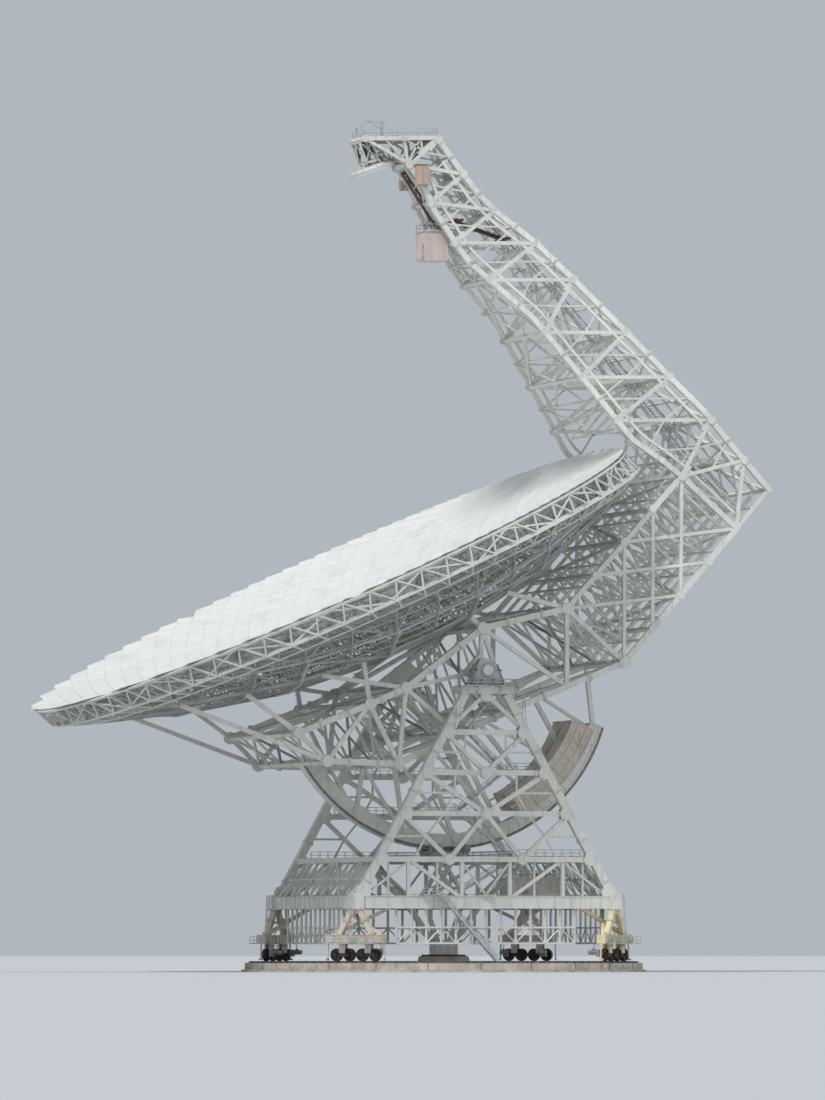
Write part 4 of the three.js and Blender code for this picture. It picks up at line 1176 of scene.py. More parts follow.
@dataclass
class Towers:
    """The two triangular towers: joint plates, finer bracing, landings, stairs and top platforms."""

    offset: float = 2.25
    base: float = 0.98
    top: float = 4.44
    base_half: float = TRACK / math.sqrt(2)
    top_half: float = 0.36
    levels: Numbers = (1.69, 2.45, 3.13, 3.8)
    brace_foot: float = 0.64
    inside: float = 2.115
    flight_reach: Numbers = (0.62, 0.5, 0.42, 0.34, 0.26)
    strut: float = 0.034
    thin_strut: float = 0.03

    def half(self, u: float) -> float:
        """Gives half the width of a tower at a level."""
        return lerp(self.base_half, self.top_half, (u - self.base) / (self.top - self.base))

    def build(self) -> None:
        """Makes the pieces of both towers."""
        plates, fine, access = Metalwork(Body.ALIDADE), Metalwork(Body.ALIDADE), Metalwork(Body.ALIDADE)
        for side in SIGNS:
            self.joints(plates, side * self.offset)
            self.bracing(fine, side * self.offset)
            self.platforms(access, side)
        self.stairs(access)
        plates.piece("tower_joint_plates", WHITE_PAINT)
        fine.piece("tower_fine_bracing", WEB_PAINT)
        access.piece("tower_access", GALVANISED)

    def joints(self, work: Metalwork, s: float) -> None:
        """Makes bolted plates on both faces of every joint, and splices along the legs.

        Args:
            work: What it joins.
            s: The tower's middle plane.
        """
        for end in SIGNS:
            leg = ((end * self.base_half, s, self.base), (end * self.top_half, s, self.top))
            for share in (0.1, 0.3, 0.53, 0.72, 0.9):
                work.collar(*leg, share, 0.158)
            for level in self.levels:
                work.gussets((end * (self.half(level) - 0.06), s, level), 0.07, 0.23)
            work.gussets((end * self.brace_foot, s, self.levels[0]), 0.05, 0.19, THIN_PLATE)
            work.gussets((end * (self.base_half - 0.12), s, 1.15), 0.07, 0.27, bolts=10)
        for level in (self.levels[1], self.levels[2], self.top - 0.03):
            work.gussets((0, s, level), 0.053, 0.21)

    def bracing(self, work: Metalwork, s: float) -> None:
        """Makes thin struts that halve the long members of each bay.

        Args:
            work: What it joins.
            s: The tower's middle plane.
        """
        low, knee, waist, high = self.levels
        bays = ((low, knee, self.brace_foot, self.half(knee)), (knee, waist, 0.0, self.half(waist)),
                (waist, high, 0.0, self.half(high)), (high, self.top, self.half(high), 0.0))
        for end in SIGNS:
            struts = []
            for foot, head, start, stop in bays:
                f, u = (start + stop) / 2, (foot + head) / 2
                struts += [(f, u, self.half(u), u, self.strut),
                           (f, u, lerp(start, self.half(foot), 0.5), foot, self.thin_strut),
                           (f, u, stop / 2, head, self.thin_strut)]
            struts += [(f, 1.08, f, low, self.thin_strut) for f in (0.85, 1.7)]
            struts += [(1.35, 1.65, 2.1, 1.1, self.strut), (0.42, 1.65, 0.0, 1.1, self.strut)]
            for f0, u0, f1, u1, wide in struts:
                work.bar((end * f0, s, u0), (end * f1, s, u1), wide, side=ACROSS)

    def platforms(self, work: Metalwork, side: int) -> None:
        """Makes a platform outside each elevation bearing, on brackets.

        Args:
            work: What it joins.
            side: The tower's side.
        """
        s = side * (self.offset + 0.21)
        level = self.top + 0.13
        work.walk((-0.56, s, level), (0.56, s, level), 0.16, ACROSS)
        for f in (-0.5, -0.2, 0.2, 0.5):
            work.bar((f, side * self.offset, level - 0.02), (f, s + side * 0.08, level - 0.02), 0.024)
            work.bar((f, side * (self.offset + 0.06), level - 0.2), (f, s + side * 0.06, level - 0.02), 0.02)
        for end in SIGNS:
            work.ladder((end * 0.62, s, 3.85), (end * 0.58, s, level), 0.05, FORWARD)

    def stairs(self, work: Metalwork) -> None:
        """Makes flights that turn back at landings in the left tower, and the right one's landings.

        Args:
            work: What it joins.
        """
        decks = (self.base + 0.03, *(level + 0.055 for level in self.levels), self.top + 0.13)
        left, right = self.inside, -self.inside
        for i, (reach, low, high) in enumerate(zip(self.flight_reach, decks, decks[1:])):
            way = 1 if i % 2 else -1
            work.stair((-way * reach, left, low), (way * reach, left, high), 0.08, ACROSS)
            if high < self.top:
                self.landing(work, left, way * reach, way * (self.half(high) - 0.14), high)
        for level in decks[1:-1]:
            edge = self.half(level) - 0.16
            self.landing(work, right, -edge, edge, level)

    def landing(self, work: Metalwork, s: float, start: float, end: float, level: float) -> None:
        """Makes a landing, and the brackets that carry it from the bar of the tower beside it.

        Args:
            work: What it joins.
            s: The landing's middle line.
            start: Its first end.
            end: Its other end.
            level: Its height.
        """
        work.walk((start, s, level), (end, s, level), 0.09, ACROSS)
        post = math.copysign(self.offset, s)
        for share in (0.04, 0.35, 0.65, 0.96):
            f = lerp(start, end, share)
            work.bar((f, s - math.copysign(0.045, s), level - 0.013), (f, post, level - 0.013), 0.018)


@dataclass
class ElevationMachinery:
    """The bearings on the towers and the drive under the wheel."""

    axis: float = AXIS_LEVEL
    offset: float = 2.25
    rack: float = 2.96
    bearing_bolts: int = 16
    bolt_circle: float = 0.122
    pinion_teeth: int = 18
    motor: Motor = Motor(0.07, 0.054, 0.06, (0.014, 0.05, 0.08, 0.11, 0.14, 0.18),
                         ((0.22, 0.058), (0.23, 0.04)))

    def build(self) -> None:
        """Makes the fittings of the bearings, and the drive with its deck."""
        self.bearings()
        self.drive()
        self.decks()

    def bearings(self) -> None:
        """Makes the foot plate, the ribs, the split flange and the bolt ring of each housing."""
        work = Metalwork(Body.ALIDADE)
        ribs = (((0.285, 4.6), (0.175, 4.93), 0.02), ((0.13, 4.6), (0.1, 4.7), 0.02),
                ((0.165, self.axis), (0.25, self.axis), 0.03))
        for side in SIGNS:
            s = side * self.offset
            work.block((0, s, 4.575), FORWARD, 0.36, 0.03, 0.27)
            for face, end in BOTH_SIGNS:
                plane = s + face * 0.1
                for (f0, u0), (f1, u1), deep in ribs:
                    work.bar((end * f0, plane, u0), (end * f1, plane, u1), 0.03, deep, ACROSS)
                work.rod((end * 0.33, plane, 4.56), (end * 0.33, plane, 4.62), 0.012)
            outer = s + side * 0.1
            for turn in circle(self.bearing_bolts, 0.5):
                f, u = self.bolt_circle * math.cos(turn), self.axis + self.bolt_circle * math.sin(turn)
                work.rod((f, outer, u), (f, outer + side * 0.012, u), 0.01)
        work.piece("bearing_fittings", MACHINE_PAINT)

    def drive(self) -> None:
        """Makes two pinions on their shafts, with gearboxes, brakes and motors."""
        work = Metalwork(Body.ALIDADE)
        for f in (-0.24, 0.24):
            level = self.axis - math.sqrt(self.rack ** 2 - f ** 2) - 0.06
            work.rod((f, -0.42, level), (f, 0.42, level), 0.024, 14)
            work.rod((f, -0.1, level), (f, 0.1, level), 0.04, 18)
            for turn in circle(self.pinion_teeth):
                out = (math.cos(turn), 0, math.sin(turn))
                work.block((f + 0.044 * out[0], 0, level + 0.044 * out[2]), ACROSS, 0.1, 0.01, 0.01, out)
            high = level + 0.06
            for side in SIGNS:
                work.block((f, side * 0.27, high), FORWARD, 0.08, 0.14, 0.16)
                work.block((f, side * 0.27, level + 0.02), FORWARD, 0.1, 0.02, 0.2)
                work.rod((f, side * 0.185, high), (f, side * 0.17, high), 0.055, 24)
                work.turned((f, side * 0.345, high), (0, side, 0), self.motor.profile(), 20)
                work.block((f, side * 0.46, high + 0.07), FORWARD, 0.03, 0.03, 0.05)
        work.piece("elevation_drive_machines", MACHINE_PAINT, 35)

    def decks(self) -> None:
        """Makes the rails round the drive's deck and the walks from it to both towers."""
        work = Metalwork(Body.ALIDADE)
        for f in (-0.42, 0.42):
            work.railing([(f, -0.45, 1.72), (f, 0.45, 1.72)])
            for side in SIGNS:
                work.walk((f, side * 0.43, 1.722), (f, side * 2.21, 1.722), 0.12, FORWARD)
        work.piece("drive_deck_access", GALVANISED)


@dataclass
class Room:
    """The fittings of a panelled room: trims, seams, door, louvres, roof rail and roof fans."""

    name: str
    body: Body
    centre: Point
    long: tuple[Point, float]
    wide: tuple[Point, float]
    high: tuple[Point, float]
    fans: int = 2
    sheet: Finish = CABIN_PANEL
    trim: float = 0.016
    seam_pitch: float = 0.12
    door_high: float = 0.21
    louvres: int = 8
    fan: Points = ((0, 0.05), (0.05, 0.05), (0.056, 0.062), (0.07, 0.062), (0.08, 0.03))

    def at(self, x: float, y: float, z: float) -> Vector:
        """Gives a point of the room.

        Args:
            x: The place along it, where 1 and -1 are its faces.
            y: The place across it.
            z: The place up it.

        Returns:
            The point in the room's frame.
        """
        spot = Vector(self.centre)
        for (direction, size), share in zip((self.long, self.wide, self.high), (x, y, z)):
            spot += Vector(direction) * (size * share / 2)
        return spot

    def build(self) -> None:
        """Makes the trims in the room's own sheet, and the door, louvres and rails."""
        trim, metal = Metalwork(self.body), Metalwork(self.body)
        up, out = Vector(self.high[0]), Vector(self.wide[0])
        for a, b in BOTH_SIGNS:
            trim.bar(self.at(-1, a, b), self.at(1, a, b), self.trim, side=out)
            trim.bar(self.at(a, -1, b), self.at(a, 1, b), self.trim, side=up)
            trim.bar(self.at(a, b, -1), self.at(a, b, 1), self.trim, side=out)
        seams = max(2, round(self.long[1] / self.seam_pitch))
        for x in spread(-1, 1, seams)[1:-1]:
            for side in SIGNS:
                trim.bar(self.at(x, side, -1), self.at(x, side, 1), 0.006, 0.012, out)
            trim.bar(self.at(x, -1, 1), self.at(x, 1, 1), 0.006, 0.012, up)
        trim.bar(self.at(-1.08, 0, 1.04), self.at(1.08, 0, 1.04), 0.014, self.wide[1] * 1.08, up)
        trim.piece(f"{self.name}_trims", self.sheet)
        self.openings(metal)
        for side in SIGNS:
            metal.railing([self.at(-1, side, 1.08), self.at(1, side, 1.08)], up=up)
            metal.railing([self.at(side, -1, 1.08), self.at(side, 1, 1.08)], up=up)
        for i in range(self.fans):
            metal.turned(self.at(1.2 * (i + 0.5) / self.fans - 0.6, 0, 1.05), up, self.fan, 20)
        metal.piece(f"{self.name}_fittings", GALVANISED, 35)

    def openings(self, work: Metalwork) -> None:
        """Makes a door with its frame, lamp and step on one side, and louvred vents on the other.

        Args:
            work: What it joins.
        """
        along, out, up = Vector(self.long[0]), Vector(self.wide[0]), Vector(self.high[0])
        foot = self.at(0.45, 1, -1) + up * 0.015
        head = foot + up * self.door_high
        work.bar(foot + out * 0.004, head + out * 0.004, 0.012, 0.09, out)
        for shift in (-0.05, 0.05):
            work.bar(foot + along * shift, head + along * shift, 0.024, 0.012, out)
        work.block(head, along, 0.056, 0.012, 0.024, up)
        work.block(head + up * 0.03, along, 0.03, 0.016, 0.05, up)
        grip = foot + along * 0.03 + out * 0.012
        work.rod(grip + up * 0.1, grip + up * 0.13, 0.004)
        work.block(foot - up * 0.02 + out * 0.06, along, 0.12, 0.01, 0.12, up)
        for x, i in product((-0.5, 0.2), range(self.louvres)):
            work.block(self.at(x, -1, 0.2) + up * (0.012 * i), along, 0.06, 0.012, 0.006, out + up * 0.6)


def between(points: Sequence[Point], x: float) -> float:
    """Gives the value at x on straight lines through points.

    Args:
        points: The points as (x, value), by rising x.
        x: The place, which may lie outside them.

    Returns:
        The value there.
    """
    if x <= points[0][0]:
        return points[0][1]
    for (x0, y0), (x1, y1) in pairwise(points):
        if x <= x1:
            return lerp(y0, y1, (x - x0) / (x1 - x0))
    return points[-1][1]


# The reflector and its back frame


@dataclass
class Dish:
    """The paraboloid that the panels and the frame behind them follow."""

    vertex_q: float = -5.25
    vertex_b: float = 0.36
    four_focal: float = 24.0
    mid_q: float = 0.15
    radius: float = 5.0
    mid_depth: float = 0.74
    rim_depth: float = 0.40

    def level(self, q: float, s: float) -> float:
        """Gives b on the reflecting surface."""
        return self.vertex_b + ((q - self.vertex_q) ** 2 + s * s) / self.four_focal

    def reach(self, q: float, s: float) -> float:
        """Gives the distance from the middle of the aperture."""
        return math.hypot(q - self.mid_q, s)

    def depth(self, q: float, s: float) -> float:
        """Gives the depth of the back frame."""
        share = min(1.0, (self.reach(q, s) / self.radius) ** 2)
        return lerp(self.mid_depth, self.rim_depth, share)

    def top(self, q: float, s: float) -> Point:
        """Gives a point of the back frame's upper side, a little under the surface."""
        return q, s, self.level(q, s) - 0.07

    def low(self, q: float, s: float) -> Point:
        """Gives a point of the back frame's lower side."""
        return q, s, self.level(q, s) - self.depth(q, s)


@dataclass
class ReflectorPanels:
    """About two thousand panels in hoops round the paraboloid's own vertex."""

    dish: Dish
    first_hoop: float = 0.52
    hoop: float = 0.232
    hoops: int = 43
    end_hoop: float = 0.06
    panel_wide: float = 0.27
    hoops_a_tier: int = 8
    gap: float = 0.004
    thick: float = 0.009
    edge: float = 4.985
    end_slant: float = 0.55
    post_drop: float = 0.085
    post_radius: float = 0.008

    def limit(self, radius: float) -> float:
        """Works out where a hoop round the vertex meets the rim.

        Args:
            radius: The hoop's radius.

        Returns:
            The angle round the vertex, or 0 where it never meets the rim.
        """
        apart = self.dish.mid_q - self.dish.vertex_q
        share = (radius ** 2 + apart ** 2 - self.edge ** 2) / (2 * radius * apart)
        return math.acos(share) if share < 1 else 0.0

    def slanted(self, turn: float, reach: float, hoop: float) -> float:
        """Moves the end of a hoop most of the way out to the rim, and leaves other seams.

        Args:
            turn: The seam's angle round the vertex.
            reach: The angle of the hoop's end.
            hoop: The hoop's radius.

        Returns:
            The angle of the seam.
        """
        if abs(turn) < reach:
            return turn
        return math.copysign(lerp(reach, self.limit(hoop), self.end_slant), turn)

    def corners(self) -> Iterable[list[Point]]:
        """Works out the panels, the last ones of a hoop cut off at the rim.

        Yields:
            The four corners of each panel, on the reflecting surface.
        """
        apart = self.dish.mid_q - self.dish.vertex_q
        whole = [self.first_hoop + i * self.hoop for i in range(self.hoops)]
        radii = [apart - self.edge + self.end_hoop, *whole, apart + self.edge - self.end_hoop]
        shave = self.gap / 2
        for i, (inner, outer) in enumerate(pairwise(radii)):
            reach = min(self.limit(inner), self.limit(outer))
            tier_end = self.first_hoop + (i // self.hoops_a_tier + 1) * self.hoops_a_tier * self.hoop
            turn = self.panel_wide / tier_end
            seams = int(reach / turn)
            turns = [-reach, *(j * turn for j in range(-seams, seams + 1)), reach]
            for start, end in pairwise(turns):
                if (end - start) * outer < 4 * self.gap:
                    continue
                spots = [(r, self.slanted(t, reach, hoop) + way * shave / r) for r, hoop, t, way in
                         ((inner + shave, inner, start, 1), (outer - shave, outer, start, 1),
                          (outer - shave, outer, end, -1), (inner + shave, inner, end, -1))]
                flat = [(self.dish.vertex_q + r * math.cos(t), r * math.sin(t)) for r, t in spots]
                yield [(q, s, self.dish.level(q, s)) for q, s in flat]

    def build(self) -> None:
        """Makes the panels in place of the plain sheet, and the posts that set each corner."""
        panels, posts = Metalwork(Body.TIPPING), Metalwork(Body.TIPPING)
        for ring in self.corners():
            upper = [Vector(p) for p in reversed(ring)]
            panels.skin([upper, [p - Vector(UP) * self.thick for p in upper]])
            q, s, b = ring[0]
            posts.rod((q, s, b - self.thick / 2), (q, s, b - self.post_drop), self.post_radius)
        made = panels.piece("reflector_panels", DISH_PAINT)
        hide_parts("reflector_surface")
        posts.piece("panel_actuators", GALVANISED)


@dataclass
class BackFrame:
    """The fine space frame between the main ribs, under the panels."""

    dish: Dish
    step_q: float = 0.35
    step_s: float = 0.4875
    edge: float = 4.86
    chord: float = 0.024
    web: float = 0.017

    def inside(self, q: float, s: float) -> bool:
        """Tells whether a joint lies inside the frame's edge."""
        return self.dish.reach(q, s) < self.edge

    def bay(self, work: Metalwork, joint: Point, beside: Point, falling: bool) -> None:
        """Makes the upper chord, the lower chord and the web between two joints.

        Args:
            work: What it joins.
            joint: The first joint as (q, s).
            beside: The other joint.
            falling: Whether the web falls.
        """
        head, foot = self.dish.top(*joint), self.dish.low(*joint)
        next_head, next_foot = self.dish.top(*beside), self.dish.low(*beside)
        work.bar(head, next_head, self.chord)
        work.bar(foot, next_foot, self.chord)
        work.bar(head if falling else foot, next_foot if falling else next_head, self.web)

    def build(self) -> None:
        """Makes top chords, lower chords and slanted webs on a grid of joints."""
        work = Metalwork(Body.TIPPING)
        reach = int(self.edge / self.step_q) + 1
        rows = int(self.edge / self.step_s) + 1
        for i in range(-reach, reach + 1):
            q = self.dish.mid_q + i * self.step_q
            for j in range(-rows, rows):
                s = (j + 0.5) * self.step_s
                if not self.inside(q, s):
                    continue
                if self.inside(q + self.step_q, s):
                    self.bay(work, (q, s), (q + self.step_q, s), bool(i % 2))
                if i % 2 == 0:
                    if self.inside(q, s + self.step_s):
                        self.bay(work, (q, s), (q, s + self.step_s), bool(j % 2))
                    work.bar(self.dish.top(q, s), self.dish.low(q, s), self.web)
        # The back frame takes the white paint darkened as painted shade for the shadow under the dish
        work.piece("back_space_frame", SHADE_PAINT)


@dataclass
class Rim:
    """The zigzag band under the edge of the reflector, and the ties behind it."""

    dish: Dish
    bays: int = 72
    outer: float = 4.95
    inner: float = 4.62
    upper_drop: float = 0.06
    lower_drop: float = 0.41
    chord: float = 0.034
    web: float = 0.026
    thin_web: float = 0.026 * 0.8

    def spot(self, i: float, radius: float, drop: float) -> Point:
        """Gives a point of the rim.

        Args:
            i: The number of bays round to it.
            radius: Its distance from the middle.
            drop: Its distance under the surface.

        Returns:
            The point (q, s, b).
        """
        turn = 2 * math.pi * i / self.bays
        q = self.dish.mid_q + radius * math.cos(turn)
        s = radius * math.sin(turn)
        return q, s, self.dish.level(q, s) - drop

    def build(self) -> None:
        """Makes the outer zigzag with its chords, the inner one, and the ties between them."""
        band, ties = Metalwork(Body.TIPPING), Metalwork(Body.TIPPING)
        upper, lower = (self.outer, self.upper_drop), (self.outer, self.lower_drop)
        inner_upper, inner_lower = (self.inner, self.upper_drop + 0.02), (self.inner, self.lower_drop + 0.05)
        for i in range(self.bays):
            head, next_head = self.spot(i, *upper), self.spot(i + 1, *upper)
            foot = self.spot(i + 0.5, *lower)
            band.bar(head, foot, self.web)
            band.bar(foot, next_head, self.web)
            band.bar(foot, self.spot(i + 1.5, *lower), self.chord)
            band.bar(head, next_head, self.chord)
            inner_head, inner_foot = self.spot(i, *inner_upper), self.spot(i + 0.5, *inner_lower)
            ties.bar(foot, inner_foot, self.web)
            ties.bar(head, inner_head, self.web)
            ties.bar(head, inner_foot, self.thin_web)
            ties.bar(inner_head, inner_foot, self.thin_web)
            ties.bar(inner_foot, self.spot(i + 1, *inner_upper), self.thin_web)
            ties.bar(inner_foot, self.spot(i + 1.5, *inner_lower), self.web)
        band.piece("rim_zigzag_band", WEB_PAINT)
        ties.piece("rim_band_ties", WEB_PAINT)


# The feed arm


@dataclass
class FeedArm:
    """The finer members of the feed arm, between its main legs."""

    front: Points = (
        (-1.8, -4.83), (-0.5, -4.83), (0.48, -4.76), (1.75, -5.05), (3.0, -5.33), (4.36, -5.39),
        (5.37, -5.66), (5.76, -5.86), (6.2, -5.96))
    rear: Points = (
        (-1.8, -5.71), (-0.74, -5.83), (-0.04, -5.93), (0.71, -6.02), (1.86, -6.17),
        (2.88, -6.29), (3.74, -6.38), (4.45, -6.37), (5.0, -6.39), (5.55, -6.5), (6.1, -6.62))
    foot_half: float = 1.95
    halves: Points = ((-0.1, 1.95), (4.6, 0.46), (6.2, 0.35))
    front_joints: Numbers = (-0.5, 0.9, 1.78, 2.7, 3.93, 4.75, 5.5, 6.2)
    rear_joints: Numbers = (-1.14, -0.26, 0.7, 1.7, 2.9, 3.74, 4.6, 5.4, 6.1)
    beam_joints: Numbers = (-2.56, -3.32, -4.07)
    beam_levels: Numbers = (-1.8, -0.47)
    doubled: float = 0.17
    chord_foot: float = -1.6
    chord_step: float = 0.2
    chord_steps: int = 38
    inner_chord: float = 0.042
    fine: float = 0.028
    heel_planes: Numbers = (-1.3, -0.65, 0.0, 0.65, 1.3)
    heel_columns: Numbers = (-1.8, -2.31, -2.82, -3.32, -3.82, -4.33, -4.83, -5.3)
    heel_high: float = -0.45
    heel_fall: float = 0.05 / 3.03
    heel_low: float = -1.8
    heel_rear: Numbers = (-1.8, -1.14, -0.5, -0.1)
    heel_rising: Numbers = (-0.1, 0.7, 1.7)
    lift_half: float = 0.16
    lift_foot: float = -1.7
    lift_step: float = 0.26
    lift_steps: int = 30
    rung_step: float = 0.06
    rungs: int = 126

    def at(self, line: Sequence[Point], b: float, s_share: float, shift: float = 0.0) -> Point:
        """Gives a point on a leg's line, by its level, its share of the half width and a shift along q."""
        return between(line, b) + shift, s_share * between(self.halves, b), b

    def build(self) -> None:
        """Makes the inner chords, the joints, the fine bracing, the heel, the lift and the ladder."""
        self.inner_chords()
        self.joints()
        self.faces()
        self.heel()
        self.access()

    def inner_chords(self) -> None:
        """Makes the second chord beside each leg, which makes the legs look double."""
        work = Metalwork(Body.TIPPING)
        levels = [self.chord_foot + self.chord_step * i for i in range(self.chord_steps)]
        legs = ((self.front, self.front_joints, -self.doubled), (self.rear, self.rear_joints, self.doubled))
        for side in SIGNS:
            for line, joints, shift in legs:
                work.path([self.at(line, b, side, shift) for b in levels], self.inner_chord, side=ACROSS)
                for b in joints:
                    work.bar(self.at(line, b, side), self.at(line, b, side, shift * 1.4), 0.06, side=ACROSS)
        work.piece("arm_inner_chords", WHITE_PAINT)

    def joints(self) -> None:
        """Makes bolted plates on both faces of every joint of the legs, and leg splices."""
        work = Metalwork(Body.TIPPING)
        for line, joints in ((self.front, self.front_joints), (self.rear, self.rear_joints)):
            for (b, ahead), side in product(zip(joints, (*joints[1:], None)), SIGNS):
                spot = self.at(line, b, side)
                work.gussets(spot, 0.047, 0.155, THIN_PLATE)
                if ahead:
                    work.collar(spot, self.at(line, ahead, side), 0.5, 0.118)
                work.gusset((spot[0], spot[1] - side * 0.09, b), 0.1, 0.07, UP, 4)
        for q, b, side in product(self.beam_joints, self.beam_levels, SIGNS):
            work.gussets((q, side * self.foot_half, b), 0.045, 0.15, THIN_PLATE)
        work.piece("arm_joint_plates", WHITE_PAINT)

    def faces(self) -> None:
        """Makes finer struts inside each bay of the four faces, and crossed diaphragms."""
        work = Metalwork(Body.TIPPING)
        for side in SIGNS:
            self.side_face(work, side)
        for line, joints in ((self.front, self.front_joints[1:]), (self.rear, self.rear_joints)):
            for b0, b1 in pairwise(joints):
                middle = lerp(b0, b1, 0.5)
                work.bar(self.at(line, middle, -1), self.at(line, middle, 1), self.fine)
                for side in SIGNS:
                    work.bar(self.at(line, b0, 0), self.at(line, middle, side), self.fine)
                    work.bar(self.at(line, middle, side * 0.5), self.at(line, b1, 0), self.fine)
        for b, back in zip(self.front_joints[1:], self.rear_joints[2:]):
            for side in SIGNS:
                work.bar(self.at(self.front, b, side), self.at(self.rear, back, -side), self.fine)
                work.bar(self.at(self.front, b, side), self.at(self.rear, back, 0), self.fine)
        work.piece("arm_fine_bracing", WEB_PAINT)

    def side_face(self, work: Metalwork, side: int) -> None:
        """Makes the struts that halve the bars and the legs on one side face.

        Args:
            work: What it joins.
            side: The side of the arm.
        """
        heads = [self.at(self.front, b, side) for b in self.front_joints]
        feet = [self.at(self.rear, b, side) for b in self.rear_joints]
        for i, head in enumerate(heads):
            middle = self.at(self.rear, lerp(*self.rear_joints[i:i + 2], 0.5), side)
            for foot in feet[i:i + 2]:
                work.bar(mix(head, foot, 0.5), middle, self.fine, side=ACROSS)
            if i + 1 < len(heads):
                middle = self.at(self.front, lerp(*self.front_joints[i:i + 2], 0.5), side)
                for end in heads[i:i + 2]:
                    work.bar(middle, mix(end, feet[i + 1], 0.5), self.fine, side=ACROSS)

    def heel(self) -> None:
        """Makes the middle trusses of the heel, whose lines nest inside the outer ones."""
        work = Metalwork(Body.TIPPING)
        tops = [self.heel_high + self.heel_fall * (q - self.heel_columns[0]) for q in self.heel_columns]
        for s in self.heel_planes:
            self.truss(work, s, tops)
        for q, top in zip(self.heel_columns[1:], tops[1:]):
            for b in (self.heel_low, top):
                work.block((q, 0, b), ACROSS, self.foot_half, 0.03)
        work.piece("heel_middle_trusses", WEB_PAINT)

    def truss(self, work: Metalwork, s: float, tops: Sequence[float]) -> None:
        """Makes one of the heel's middle trusses.

        Args:
            work: What it joins.
            s: Its plane.
            tops: The level of its upper chord at each column.
        """
        share = s / self.foot_half
        top = [(q, s, b) for q, b in zip(self.heel_columns, tops)]
        low = [(q, s, self.heel_low) for q in self.heel_columns]
        rear = [(between(self.rear, b), s, b) for b in self.heel_rear]
        rising = [self.at(self.rear, b, share) for b in self.heel_rising]
        work.path(top, 0.05, side=ACROSS)
        work.path([*low, rear[0]], 0.062, side=ACROSS)
        work.path(rear, 0.068, side=ACROSS)
        work.path(rising, 0.055, side=ACROSS)
        for foot, head, b in zip(rising, rising[1:], self.heel_rising[1:]):
            front = self.at(self.front, b, share)
            work.bar(foot, front, 0.036, side=ACROSS)
            work.bar(head, front, 0.036, side=ACROSS)
        work.bar(top[-1], rear[-1], 0.04, side=ACROSS)
        for i in range(len(top)):
            work.bar(top[i], low[i], 0.042, side=ACROSS)
            if i:
                ends = (top[i - 1], low[i]) if i % 2 else (low[i - 1], top[i])
                work.bar(*ends, 0.034, side=ACROSS)
        work.bar(low[-1], rear[1], 0.03, side=ACROSS)
        work.bar(top[-1], rear[1], 0.03, side=ACROSS)

    def access(self) -> None:
        """Makes the lift's two rails, the cable tray between them and the ladder's rungs."""
        work = Metalwork(Body.TIPPING)
        half, shift = self.lift_half, 0.09
        levels = [self.lift_foot + self.lift_step * i for i in range(self.lift_steps)]
        for share in (-half, half):
            work.path([self.at(self.rear, b, share, shift) for b in levels], 0.022, side=ACROSS)
        work.path([self.at(self.rear, b, 0.0, 0.12) for b in levels], 0.05, 0.02, side=ACROSS)
        for i in range(self.rungs):
            b = self.lift_foot + self.rung_step * i
            work.rod(self.at(self.rear, b, -half, shift), self.at(self.rear, b, half, shift), 0.005, 4)
        work.piece("arm_lift_and_ladder", GALVANISED)


# The box, the elevation wheel and the counterweights


